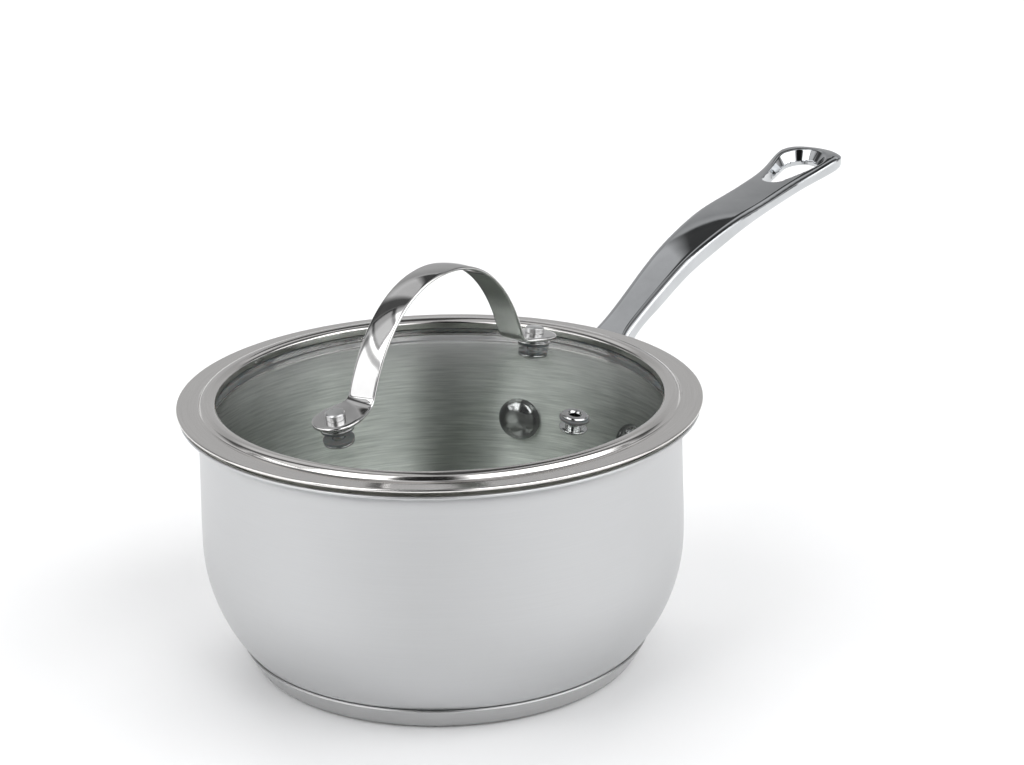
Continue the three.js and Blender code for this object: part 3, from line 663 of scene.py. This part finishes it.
def teardrop(x, y):
    """Distance outside the hanging hole's outline: two circles and the lines that touch both."""
    lean = (HOLE_FRONT - HOLE_BACK) / HOLE_LENGTH
    rise = math.sqrt(1 - lean**2)
    along = HOLE_FRONT_PLACE - x
    side = np.abs(y)
    turn = along * rise - side * lean
    front = np.hypot(along, side) - HOLE_FRONT
    back = np.hypot(along - HOLE_LENGTH, side) - HOLE_BACK
    flank = along * lean + side * rise - HOLE_FRONT
    return np.where(turn < 0, front, np.where(turn > HOLE_LENGTH * rise, back, flank))


def plan_distance(x, y):
    """Distance outside the handle's outline seen from above."""
    side = np.abs(y)
    flank = (side - HANDLE_WIDTH(x)) / HANDLE_WIDTH.steepness(x)
    ahead = np.maximum(x - END_START, 0) / (HANDLE_REACH - END_START)
    rounds = ahead**END_POWER + (side / END_HALF_WIDTH) ** END_POWER
    tip = (rounds ** (1 / END_POWER) - 1) * END_SCALE
    return np.where(x > END_START, tip, flank)


def arm_distance(x, y, z):
    """Distance outside the bar: its crowned top, outline, underside, chamfers and funnelled hole."""
    outline = plan_distance(x, y)
    top_line = HANDLE_TOP(x)
    plain_top = (z - top_line) / HANDLE_TOP.steepness(x)
    crown = TOP_CROWN * np.clip(np.abs(y) / np.maximum(HANDLE_WIDTH(x), NARROWEST), 0, 1) ** 2
    top = plain_top + crown / HANDLE_TOP.steepness(x)
    below = (HANDLE_BELOW(x) - z) / HANDLE_BELOW.steepness(x)
    chamfer = outline * CHAMFER_OUT + plain_top * CHAMFER_UP + CHAMFER_DEPTH
    under_chamfer = (outline + below) * UNDER_LEAN + UNDER_DEPTH
    widening = np.clip((x - HOLE_FRONT_PLACE + HOLE_LENGTH) / HOLE_LENGTH, 0, 1)
    funnel = FUNNEL_MARGIN - FUNNEL_LEAN * np.clip(top_line - z, 0, FUNNEL_DEPTH)
    hole = (HOLE_MARGIN + widening * funnel - teardrop(x, y)) * HOLE_STEEPNESS
    arm = smooth_max(top, outline, TOP_ROUNDING)
    arm = smooth_max(arm, chamfer, TOP_ROUNDING)
    arm = smooth_max(arm, below, BELOW_ROUNDING)
    arm = smooth_max(arm, under_chamfer, UNDER_ROUNDING)
    return smooth_max(arm, hole, HOLE_ROUNDING)


def handle_distance(x, y, z):
    """Roughly the distance outside the cast handle, in millimetres, negative inside it."""
    wall = np.hypot(x, y) - wall_radius(z)
    plate = np.abs(wall - SADDLE_GAP - SADDLE_HALF) - SADDLE_HALF
    sideways = np.maximum(np.abs(np.arctan2(y, x)) * SADDLE_ARC_RADIUS - SADDLE_STRAIGHT, 0)
    pad = np.hypot(sideways, z - SADDLE_MIDDLE) - SADDLE_PAD_RADIUS
    saddle = smooth_max(plate, pad, SADDLE_ROUNDING)
    joined = smooth_min(arm_distance(x, y, z), saddle, ROOT_BLEND)
    return smooth_max(joined, SADDLE_GAP - wall, WALL_ROUNDING)


def slope_of(distance, points, reach=0.03):
    """How fast a distance grows along each axis at some points."""
    columns = []
    for axis in range(3):
        ahead, behind = points.copy(), points.copy()
        ahead[:, axis] += reach
        behind[:, axis] -= reach
        columns.append((distance(*ahead.T) - distance(*behind.T)) / (2 * reach))
    return np.stack(columns, 1)


def surface_net(distance, low, high, step, moves=4):
    """Points, quads and normals on a distance's zero level, found cell by cell and then moved onto it."""
    axes = [np.arange(a, b + step, step) for a, b in zip(low, high)]
    value = distance(axes[0][:, None, None], axes[1][None, :, None], axes[2][None, None, :])
    inside = value < 0
    shape = np.array(value.shape) - 1
    corners = [(i, j, k) for i in (0, 1) for j in (0, 1) for k in (0, 1)]
    filled = sum(
        inside[i : i + shape[0], j : j + shape[1], k : k + shape[2]].astype(np.int8) for i, j, k in corners
    )
    cells = np.argwhere((filled > 0) & (filled < 8))
    number = np.full(shape, -1, np.int64)
    number[tuple(cells.T)] = np.arange(len(cells))
    at = {c: value[cells[:, 0] + c[0], cells[:, 1] + c[1], cells[:, 2] + c[2]] for c in corners}
    total = np.zeros((len(cells), 3))
    crossings = np.zeros(len(cells))
    for start in corners:
        for axis in range(3):
            if start[axis]:
                continue
            end = tuple(1 if a == axis else s for a, s in enumerate(start))
            first, last = at[start], at[end]
            cut = (first < 0) != (last < 0)
            share = np.where(cut, first / np.where(cut, first - last, 1), 0)
            spot = np.array(start, float)[None, :].repeat(len(cells), 0)
            spot[:, axis] += share
            total += spot * cut[:, None]
            crossings += cut
    points = (cells + total / crossings[:, None]) * step + np.array(low)
    faces = []
    for axis in range(3):
        u, v = (axis + 1) % 3, (axis + 2) % 3
        first = np.take(inside, range(0, shape[axis]), axis)
        last = np.take(inside, range(1, shape[axis] + 1), axis)
        edges = np.argwhere(first != last)
        across = edges[:, (u, v)]
        edges = edges[((across > 0) & (across < shape[[u, v]])).all(1)]
        outward = first[tuple(edges.T)]
        ring = []
        for du, dv in ((1, 1), (0, 1), (0, 0), (1, 0)):
            cell = edges.copy()
            cell[:, u] -= du
            cell[:, v] -= dv
            ring.append(number[tuple(cell.T)])
        quads = np.stack(ring, 1)
        faces.append(np.where(outward[:, None], quads, quads[:, ::-1]))
    for _ in range(moves):
        gradient = slope_of(distance, points)
        level = distance(*points.T)
        size = np.maximum((gradient**2).sum(1), 0.05)
        points = points - gradient * np.clip(level / size, -step, step)[:, None]
    gradient = slope_of(distance, points)
    normals = gradient / np.linalg.norm(gradient, axis=1)[:, None]
    return points, np.concatenate(faces), normals


HANDLE_BOX_LOW = (WALL_RADIUS - 6.03, -34.02, 42.04)
HANDLE_BOX_HIGH = (HANDLE_REACH + 2, 34.0, HANDLE_TIP_HEIGHT + 2)
FINE_STEP = 0.6


def pan_handle():
    """The cast handle, as a fine skin over its distance, with the distance's own normals."""
    step = FINE_STEP
    points, faces, normals = surface_net(handle_distance, HANDLE_BOX_LOW, HANDLE_BOX_HIGH, step)
    mesh = bpy.data.meshes.new("pan_handle_cast")
    mesh.from_pydata((points * MM).tolist(), [], faces.tolist())
    mesh.shade_smooth()
    mesh.normals_split_custom_set_from_vertices(normals.tolist())
    dress(link("pan_handle_cast", mesh), "pan", "pan_handle", "handle_steel", HANDLE_STEEL)


RIVET_TURN = 18.3 * DEGREE
RIVET_HEAD_RADIUS = 7.8
RIVET_HEAD_HEIGHT = 4.2
RIVET_SHANK_RADIUS = 3.0
RIVET_TAIL_RADIUS = 5.0
RIVET_TAIL_HEIGHT = 1.6
RIVET_WALL = MOUTH + (BELLY - WALL_RADIUS) * 0.7
RIVET_SEAT = math.sqrt(RIVET_WALL**2 - RIVET_HEAD_RADIUS**2) - 0.05
RIVET_FACE = BELLY + 3.45


def handle_rivet(side, node):
    """Domed head inside the pot, shank through the wall, low head on the saddle."""
    tip = RIVET_SEAT - RIVET_HEAD_HEIGHT
    rim = RIVET_SEAT + 0.9
    corners = [
        (0, tip, 0),
        (4.2, tip + RIVET_HEAD_HEIGHT * 0.07, 6.0),
        (6.9, tip + RIVET_HEAD_HEIGHT * 0.4, 4.0),
        (RIVET_HEAD_RADIUS, RIVET_SEAT - 0.7, 1.0),
        (RIVET_HEAD_RADIUS, rim, 0.1),
        (RIVET_SHANK_RADIUS, rim, 0.1),
        (RIVET_SHANK_RADIUS, RIVET_FACE, 0.1),
        (RIVET_TAIL_RADIUS, RIVET_FACE, 0.2),
        (RIVET_TAIL_RADIUS - 0.3, RIVET_FACE + 1.1, 1.0),
        (RIVET_TAIL_RADIUS / 2, RIVET_FACE + RIVET_TAIL_HEIGHT, 1.6),
        (0, RIVET_FACE + RIVET_TAIL_HEIGHT, 0),
    ]
    place = Matrix.Translation((0, 0, SADDLE_MIDDLE * MM)) @ Matrix.Rotation(side * RIVET_TURN, 4, "Z")
    place = place @ Matrix.Rotation(math.pi / 2, 4, "Y")
    piece = revolve(node + "_steel", rounded(corners, steps=7), sides=72, place=place)
    # The rivets wear the darkened steel, whose colour is painted shade for the dark interior they reflect.
    dress(piece, "pan", node, "rivet_steel", SHADE_DARKENED_DOME_STEEL)


# ---- lid ----

BEAD_SIDE_DROP = 1.2
BEAD_EDGE_WIDTH = 0.4
BEAD_FOOT_WIDTH = 0.35
SKIRT_DROP = 1.2
RING_FOOT_RISE = 0.5


def bead_arc(centre, size, sweep, steps):
    """The bead's rounded top, from its inner side to its outer side."""
    return arc(BEAD_MIDDLE, centre, size, math.pi / 2 + sweep, math.pi / 2 - sweep, steps)


def skirt_arc(size, start, end, steps):
    """The skirt that lies in the pot's flare."""
    return arc(FLARE_CENTRE, FLARE_START, size, math.pi - start, math.pi - end, steps)


def lid_ring():
    """One sheet rolled into an inner edge, a bead, a flat flange, a hem and a skirt with an inner lap."""
    bead_radius = (BEAD_HALF_WIDTH**2 + BEAD_RISE**2) / (2 * BEAD_RISE)
    centre = BEAD_TOP - bead_radius
    sweep = math.acos((BEAD_TOP - BEAD_SIDE_DROP - centre) / bead_radius)
    outer = bead_arc(centre, bead_radius, sweep, 22)
    inner = bead_arc(centre, bead_radius - RING_SHEET, sweep, 16)
    edge_bottom = dome(RING_INNER) + 0.05
    edge = [
        (outer[0][0] + BEAD_EDGE_WIDTH, edge_bottom, 0),
        (outer[0][0], edge_bottom, 0.15),
        (*outer[0], 0.5),
        (*outer[2], 0),
    ]
    flange = [
        (*outer[-3], 0),
        (outer[-1][0] + BEAD_FOOT_WIDTH, RING_TOP, 0.9),
        (RING_RADIUS - HEM_THICKNESS, RING_TOP, 0),
    ]
    underside = [
        (RING_RADIUS - HEM_THICKNESS, HEM_BOTTOM, 0),
        (SKIRT_RADIUS, HEM_BOTTOM, 0.7),
        (SKIRT_RADIUS, HEM_BOTTOM - SKIRT_DROP, 0),
    ]
    foot_radius = FLARE_CENTRE - SKIRT_ARC * math.cos(SKIRT_FOOT)
    lap_top = RING_BOTTOM + RING_SHEET
    lap = [
        (foot_radius, RING_BOTTOM + RING_FOOT_RISE, 0),
        (foot_radius - 0.3, RING_BOTTOM, 0.5),
        (RING_LAP, RING_BOTTOM, 0.1),
        (RING_LAP, lap_top, 0.1),
        (POCKET_RADIUS, lap_top, 0),
    ]
    hem = HEM_THICKNESS / 2
    outline = [
        *rounded(edge),
        *outer[3:-3],
        *rounded(flange, steps=8),
        *arc(RING_RADIUS - hem, RING_TOP - hem, hem, math.pi / 2, -math.pi / 2, 12),
        *rounded(underside),
        *skirt_arc(SKIRT_ARC, SKIRT_TOP, SKIRT_FOOT, 10),
        *rounded(lap),
        *skirt_arc(SKIRT_ARC + RING_SHEET, SKIRT_FOOT, SKIRT_TOP, 8)[1:],
        (SKIRT_RADIUS - RING_SHEET, RING_TOP - RING_SHEET),
        *inner[::-1],
        (inner[0][0], edge_bottom),
    ]
    piece = revolve("lid_ring_steel", outline, loop=True, sharp=42)
    dress(piece, "lid", "lid_ring", "ring_steel", RING_STEEL)


SEAL_MARGIN = 0.1
SEAL_INSET = 0.45
SEAL_ROOF_GAP = 0.2
SEAL_CHAMFER = 1.2


def lid_edge_seal():
    """A silicone channel round the glass's edge, inside the ring."""
    inner = RING_INNER + RING_SHEET + SEAL_INSET
    slot = GLASS_RADIUS + SEAL_MARGIN
    lap = RING_LAP + TOUCH_GAP
    ceiling = RING_TOP - RING_SHEET - SEAL_ROOF_GAP
    floor = RING_BOTTOM + RING_SHEET + SEAL_MARGIN
    corners = [
        (inner, dome(inner) + SEAL_MARGIN, 0.15),
        (inner, ceiling, 0.4),
        (SEAL_RADIUS, ceiling, 0.4),
        (SEAL_RADIUS, floor + SEAL_CHAMFER, 0.4),
        (SEAL_RADIUS - 0.9, floor, 0.4),
        (lap, floor, 0.25),
        (lap, dome(lap, GLASS_THICKNESS) - SEAL_MARGIN, 0.25),
        (slot, dome(slot, GLASS_THICKNESS) - SEAL_MARGIN, 0.1),
        (slot, dome(slot) + SEAL_MARGIN, 0.1),
    ]
    piece = revolve("edge_seal_silicone", rounded(corners, loop=True), loop=True)
    dress(piece, "lid", "lid_edge_seal", "silicone", SILICONE)


def cut(piece, cutters):
    """Cuts other pieces out of a piece and removes them."""
    for cutter in cutters:
        change = piece.modifiers.new("cut", "BOOLEAN")
        change.operation = "DIFFERENCE"
        change.solver = "EXACT"
        change.object = cutter
    bpy.context.view_layer.update()
    shaped = bpy.data.meshes.new_from_object(piece.evaluated_get(bpy.context.evaluated_depsgraph_get()))
    piece.modifiers.clear()
    piece.data = shaped
    for cutter in cutters:
        bpy.data.objects.remove(cutter)
    shaped.shade_smooth()
    shaped.set_sharp_from_angle(angle=40 * DEGREE)


GLASS_STEPS = 24
GLASS_ARRIS = 0.6
DRILL_BOTTOM = -12
DRILL_TOP = 8
DRILLS = (
    (FOOT_RADIUS, 0, FOOT_DRILL),
    (FOOT_RADIUS, math.pi, FOOT_DRILL),
    (VENT_DISTANCE, VENT_TURN, VENT_DRILL),
)


def lid_glass():
    """The domed pane, with an eased edge and three drilled holes."""
    flat = GLASS_RADIUS - GLASS_ARRIS
    top = [(flat * i / GLASS_STEPS, dome(flat * i / GLASS_STEPS)) for i in range(GLASS_STEPS + 1)]
    low = [(r, dome(r, GLASS_THICKNESS)) for r, _ in top]
    edge = [
        (*low[-1], 0),
        (GLASS_RADIUS, dome(GLASS_RADIUS, GLASS_THICKNESS) + GLASS_ARRIS, 0.8),
        (GLASS_RADIUS, dome(GLASS_RADIUS) - GLASS_ARRIS, 0.8),
        (*top[-1], 0),
    ]
    piece = revolve("lid_glass_pane", [*low[:-1], *rounded(edge), *top[:-1][::-1]])
    drills = []
    for distance, azimuth, radius in DRILLS:
        corners = [(0, DRILL_BOTTOM), (radius, DRILL_BOTTOM), (radius, DRILL_TOP), (0, DRILL_TOP)]
        drills.append(revolve("drill", corners, sides=48, place=dome_place(distance, azimuth)))
    cut(piece, drills)
    dress(piece, "lid", "lid_glass", "lid_glass", GLASS)


def bezier(p0, p1, p2, p3, count):
    """Evenly stepped points on a cubic curve."""
    t = np.linspace(0, 1, count + 1)[:, None]
    return (1 - t) ** 3 * p0 + 3 * (1 - t) ** 2 * t * p1 + 3 * (1 - t) * t**2 * p2 + t**3 * p3


STRAP_EASE = 0.55
STRAP_CROWN = 0.5
STRAP_STATIONS = 150
STRAP_END_STATIONS = 34
STRAP_LOOK = 0.4
EASE_SHARES = np.array([0.0, 0.06, 0.2, 0.42, 0.7, 1.0])
INNER_SHARES = np.linspace(0, 1, 9)[1:]
PAD_START_SHARE = 0.9
PAD_WIDENING_START = 14
PAD_WIDENING_LENGTH = 12


def strap_line():
    """Half of the strap's middle line, from its crown to the end of a foot: points and the way gone.

    It also gives how far along it the middle of the foot is.
    """
    tilt = math.asin(FOOT_RADIUS / DOME_RADIUS)
    across = np.array([math.cos(tilt), -math.sin(tilt)])
    up = np.array([math.sin(tilt), math.cos(tilt)])
    half = STRAP_THICKNESS / 2
    foot = np.array([FOOT_RADIUS, dome(FOOT_RADIUS)]) + up * (FOOT_STANDOFF + half)
    pad_start = foot - across * PAD_RADIUS * PAD_START_SHARE
    crown = np.array([0, GLASS_TOP + ARCH_HEIGHT - half])
    leg = np.array([LEG_RADIUS, GLASS_TOP + LEG_HEIGHT])
    rise = np.array([-math.sin(LEG_LEAN), math.cos(LEG_LEAN)])
    arch = bezier(crown, crown + (CROWN_REACH, 0), leg + rise * SHOULDER_REACH, leg, 80)
    reach = np.linalg.norm(leg - pad_start) * 0.5
    bend = bezier(leg, leg - rise * reach, pad_start - across * reach, pad_start, 40)
    flat = pad_start + across * np.linspace(0, PAD_RADIUS * (1 + PAD_START_SHARE), 30)[:, None]
    line = np.concatenate([arch, bend[1:], flat[1:]])
    gone = np.concatenate([[0], np.cumsum(np.linalg.norm(np.diff(line, axis=0), axis=1))])
    return line, gone, gone[-1] - PAD_RADIUS


def strap_spot(line, gone, s):
    """The point that lies s along the strap's line."""
    return np.array([np.interp(s, gone, line[:, axis]) for axis in (0, 1)])


def strap_up(line, gone, s):
    """The direction out of the strap's upper face at s."""
    if s < STRAP_LOOK:
        return np.array([0.0, 1.0])
    ahead = strap_spot(line, gone, min(s + STRAP_LOOK, gone[-1]))
    behind = strap_spot(line, gone, s - STRAP_LOOK)
    tangent = (ahead - behind) / np.linalg.norm(ahead - behind)
    return np.array([-tangent[1], tangent[0]])


def strap_section(past_foot):
    """(y, height above, height below) across the strap, at a distance past the middle of its foot."""
    widen = np.clip((past_foot + PAD_WIDENING_START) / PAD_WIDENING_LENGTH, 0, 1)
    width = STRAP_HALF_WIDTH + (PAD_RADIUS - STRAP_HALF_WIDTH) * widen**2 * (3 - 2 * widen)
    if past_foot > 0:
        width = math.sqrt(max(PAD_RADIUS**2 - past_foot**2, 1e-8))
    fit = STRAP_EASE * min(1.0, width / (2 * STRAP_EASE))
    insets = np.concatenate([EASE_SHARES * fit, fit + (width - fit) * INNER_SHARES])
    section = []
    for y in [-(width - inset) for inset in insets] + [width - inset for inset in insets[:-1][::-1]]:
        away = width - abs(y) if past_foot <= 0 else PAD_RADIUS - math.hypot(past_foot, y)
        away = min(max(away, 0), STRAP_EASE)
        rise = math.sqrt(max(STRAP_EASE**2 - (STRAP_EASE - away) ** 2, 0))
        height = STRAP_THICKNESS / 2 - STRAP_EASE + rise
        sag = STRAP_CROWN * (y / max(width, 3)) ** 2 * (1 - 0.8 * widen)
        section.append((y, height - sag, -height))
    return section


def lid_handle():
    """Crowned strip that widens into round feet, with its edges eased all the way round."""
    line, gone, foot = strap_line()
    round_end = foot + PAD_RADIUS * np.sin(np.linspace(0, math.pi / 2, STRAP_END_STATIONS))[1:]
    stations = np.concatenate([np.linspace(0, foot, STRAP_STATIONS), round_end])
    points = []
    rows = []
    for side, places in ((-1, stations[::-1]), (1, stations[1:])):
        for s in places:
            spot = strap_spot(line, gone, s)
            up = strap_up(line, gone, s)
            section = strap_section(s - foot)
            row = []
            for face in (1, 2):
                for across in section:
                    x, z = spot + up * across[face]
                    row.append(len(points))
                    points.append((side * x, across[0], z))
            rows.append(row[: len(section)] + row[len(section) :][::-1])
    faces = []
    around = len(rows[0])
    for first, last in zip(rows[:-1], rows[1:]):
        for index in range(around):
            after = (index + 1) % around
            faces.append([first[index], first[after], last[after], last[index]])
    piece = mesh_piece("lid_handle_strap", points, faces, sharp=60)
    dress(piece, "lid", "lid_handle", "strap_steel", STRAP_STEEL)


RUBBER = ("ring", "silicone", SILICONE)
FITTING = ("steel", "rivet_steel", FITTING_STEEL)
RIVET = ("steel", "rivet_steel", RIVET_STEEL)
GLASS_UNDER = -GLASS_THICKNESS


def fixing(node, look, corners, place, loop=True, steps=5):
    """A small round piece on the lid, from its rounded outline above the glass's upper face."""
    ending, slot_name, material = look
    outline = rounded(corners, loop=loop, steps=steps)
    piece = revolve(f"{node}_{ending}", outline, sides=72, place=place, loop=loop)
    dress(piece, "lid", node, slot_name, material)


def washer(node, look, bottom, thickness, outer, hole, place, rounding=0.25):
    """A flat ring with eased outer edges."""
    corners = [
        (hole, bottom, 0.05),
        (outer, bottom, rounding),
        (outer, bottom + thickness, rounding),
        (hole, bottom + thickness, 0.05),
    ]
    fixing(node, look, corners, place)


def foot_fixings(end, azimuth):
    """Gaskets on both sides of the glass, a stepped ferrule, a washer, and the rivet through them all."""
    place = dome_place(FOOT_RADIUS, azimuth)
    washer(f"foot_gasket_upper_{end}", RUBBER, 0.02, 0.9, 5.4, SHANK_HOLE, place)
    washer(f"foot_gasket_lower_{end}", RUBBER, GLASS_UNDER - 1.0, 0.98, 5.1, SHANK_HOLE, place)
    washer(f"foot_washer_{end}", FITTING, GLASS_UNDER - 1.75, 0.73, 5.0, SHANK_HOLE, place, 0.3)
    top = FOOT_STANDOFF - 0.02
    ferrule = [
        (SHANK_HOLE, 0.94, 0.05),
        (5.8, 0.94, 0.3),
        (5.8, 1.6, 0.3),
        (4.9, 1.65, 0.3),
        (5.3, 2.2, 0.3),
        (6.6, top, 0.15),
        (SHANK_HOLE, top, 0.05),
    ]
    fixing(f"foot_ferrule_{end}", FITTING, ferrule, place)
    seat = FOOT_STANDOFF + STRAP_THICKNESS - 0.05
    head = seat + 2.4
    tail = GLASS_UNDER - 1.77
    rivet = [
        (0, tail - 1.2, 0),
        (2.4, tail - 1.2, 0.8),
        (3.2, tail - 0.5, 0.4),
        (3.2, tail, 0.1),
        (1.9, tail, 0.05),
        (1.9, seat, 0.05),
        (3.15, seat, 0.2),
        (3.3, seat + 0.25, 0.3),
        (3.3, head - 0.55, 0.35),
        (2.75, head - 0.12, 0.5),
        (0, head, 0),
    ]
    fixing(f"foot_rivet_{end}", RIVET, rivet, place, loop=False, steps=6)


def vent():
    """An eyelet rolled over a washer under the glass and a gasket above it, with a clear bore."""
    place = dome_place(VENT_DISTANCE, VENT_TURN)
    bore = 1.75
    tube = 2.4
    hole = tube + 0.05
    washer("vent_gasket", RUBBER, 0.02, 1.05, 4.9, hole, place, 0.35)
    washer("vent_washer", FITTING, GLASS_UNDER - 0.75, 0.73, 4.6, hole, place, 0.3)
    roll = GLASS_UNDER - 0.77
    seat = 1.1
    eyelet = [
        (bore, roll - 0.8, 0.5),
        (3.3, roll - 0.8, 0.4),
        (3.6, roll, 0.3),
        (tube, roll, 0.05),
        (tube, seat, 0.05),
        (4.3, seat, 0.3),
        (4.4, seat + 0.5, 0.3),
        (3.9, seat + 0.95, 0.5),
        (2.5, seat + 1.0, 0.6),
        (bore, seat + 0.4, 0.5),
    ]
    fixing("vent_eyelet", FITTING, eyelet, place, steps=6)


pan_body()
base_cap()
base_core()
pan_handle()
handle_rivet(1, "handle_rivet_left")
handle_rivet(-1, "handle_rivet_right")
lid_ring()
lid_edge_seal()
lid_glass()
lid_handle()
foot_fixings("front", math.pi)
foot_fixings("back", 0.0)
vent()


# ---- studio ----

CAMERA_AZIMUTH = -52.3 * DEGREE
CAMERA_ELEVATION = 19.19 * DEGREE
CAMERA_ROLL = 1.077 * DEGREE
CAMERA_BACK = 838.43 * MM
CAMERA_RIGHT = 24.107 * MM
CAMERA_HEIGHT = 386.367 * MM
CAMERA_LENS = 93.62
SENSOR_WIDTH = 36
FLOOR_HALF = 6.0
FLOOR_DROP = 0.02
WALL_LIGHT = 1.0
CEILING_LIGHT = 0.6
LIGHT_COLOUR = (0.985, 0.99, 1.0, 1)


def side_panels(side):
    """A dark edge, a high soft box, and a low soft box in a dark frame, on one side of the camera."""
    return [
        ("dim", 0.85, side * 122, 7, 10, 0.4, 0.93, 0.12),
        ("add", 2.0, side * 58, 36, 6, 0.42, 0.88, 0.06),
        ("dim", 0.75, side * 76, 27, 3, -1.0, 0.5, 0.04),
        ("add", 1.3, side * 76, 21, 2, -1.0, 0.42, 0.03),
    ]


# What hangs in the room, in order: whether it takes a share of the light away or adds some, and how much;
# the azimuth of its middle from the camera's side, its half width and its soft edge, in degrees; its lower
# and upper edges and how softly they fade, as heights on a ball of radius 1.
PANELS = [
    ("dim", 0.52, 180, 55, 25, 0.06, 0.55, 0.12),
    ("dim", 0.75, 85, 30, 10, 0.8, 0.96, 0.05),
    *side_panels(-1),
    *side_panels(1),
    ("dim", 0.98, -9, 17, 7, -1.0, 0.95, 0.12),
    ("dim", 0.9, 174, 14, 7, 0.62, 0.98, 0.02),
    ("dim", 0.85, -92, 19, 1.5, 0.57, 0.84, 0.02),
    ("add", 0.4, -92, 16, 1.5, 0.61, 0.8, 0.02),
]


def camera():
    """Looks at the object from the photograph's angle."""
    data = bpy.data.cameras.new("camera")
    data.lens = CAMERA_LENS
    data.sensor_width = SENSOR_WIDTH
    seat = bpy.data.objects.new("camera", data)
    bpy.context.scene.collection.objects.link(seat)
    turn = Matrix.Rotation(CAMERA_AZIMUTH, 4, "Z")
    spot = Matrix.Translation((CAMERA_RIGHT, -CAMERA_BACK, CAMERA_HEIGHT))
    tilt = Matrix.Rotation(math.pi / 2 - CAMERA_ELEVATION, 4, "X")
    seat.matrix_world = turn @ spot @ tilt @ Matrix.Rotation(-CAMERA_ROLL, 4, "Z")
    data.clip_start = 0.01
    bpy.context.scene.camera = seat


def lamp(name, azimuth, elevation, distance, width, height, power):
    """A soft box that faces the object, not seen in it. Azimuth is measured from the camera's right."""
    data = bpy.data.lights.new(name, "AREA")
    data.shape = "RECTANGLE"
    data.size = width
    data.size_y = height
    data.energy = power
    box = bpy.data.objects.new(name, data)
    bpy.context.scene.collection.objects.link(box)
    turn = azimuth * DEGREE + CAMERA_AZIMUTH
    lift = elevation * DEGREE
    aim = Vector((math.cos(turn) * math.cos(lift), math.sin(turn) * math.cos(lift), math.sin(lift)))
    box.location = aim * distance + Vector((0, 0, 0.06))
    box.rotation_euler = aim.to_track_quat("Z", "Y").to_euler()
    box.visible_glossy = False
    box.visible_transmission = False


def floor():
    """A wide pale sheet just under the object."""
    size = FLOOR_HALF
    mesh = bpy.data.meshes.new("studio_floor")
    corners = [(-size, -size, 0), (size, -size, 0), (size, size, 0), (-size, size, 0)]
    mesh.from_pydata(corners, [], [(0, 1, 2, 3)])
    piece = link("studio_floor", mesh)
    piece.location.z = -FLOOR_DROP * MM
    mesh.materials.append(FLOOR)


def sky():
    """A white room with a dimmer ceiling, dark openings and soft boxes, for the steel to reflect.

    The camera itself sees it plain white.
    """
    world = bpy.data.worlds.new("room")
    bpy.context.scene.world = world
    world.use_nodes = True
    room = Graph(world.node_tree)
    split = room.node("ShaderNodeSeparateXYZ")
    room.join(room.node("ShaderNodeTexCoord").outputs["Generated"], split.inputs[0])
    x, y, z = split.outputs
    flat = room.reach(x, y)

    def panel(azimuth, half_width, edge, low, high, rise):
        """1 on a panel, 0 away from it."""
        turn = CAMERA_AZIMUTH - math.pi / 2 + azimuth * DEGREE
        east = room.math("MULTIPLY", x, math.cos(turn))
        north = room.math("MULTIPLY", y, math.sin(turn))
        along = room.math("DIVIDE", room.math("ADD", east, north), flat)
        outer = math.cos((half_width + edge) * DEGREE)
        across = room.stretch(along, outer, math.cos(half_width * DEGREE), 0.0, 1.0)
        over = room.stretch(z, low - rise, low, 0.0, 1.0)
        under = room.stretch(z, high, high + rise, 1.0, 0.0)
        return room.math("MULTIPLY", across, room.math("MULTIPLY", over, under))

    light = room.stretch(z, 0.35, 0.75, WALL_LIGHT, CEILING_LIGHT)
    for kind, amount, *shape in PANELS:
        part = room.math("MULTIPLY", panel(*shape), amount)
        if kind == "dim":
            light = room.math("MULTIPLY", light, room.math("SUBTRACT", 1.0, part))
        else:
            light = room.math("ADD", light, part)
    seen = room.node("ShaderNodeLightPath").outputs["Is Camera Ray"]
    unseen = room.math("SUBTRACT", 1.0, seen)
    light = room.math("ADD", room.math("MULTIPLY", light, unseen), room.math("MULTIPLY", seen, WALL_LIGHT))
    back = room.tree.nodes["Background"]
    room.join(light, back.inputs["Strength"])
    back.inputs["Color"].default_value = LIGHT_COLOUR


camera()
floor()
sky()
# Each soft box: azimuth and elevation in degrees, distance, width and height in metres, and power in watts.
lamp("overhead_box", 100, 74, 1.6, 1.2, 1.2, 4)
lamp("left_box", 185, 42, 1.6, 0.9, 1.2, 2)
lamp("right_box", -5, 42, 1.6, 0.9, 1.2, 2)
lamp("back_floor_box", 90, 35, 3.2, 3.0, 1.5, 45)
bpy.context.scene.view_settings.view_transform = "Standard"
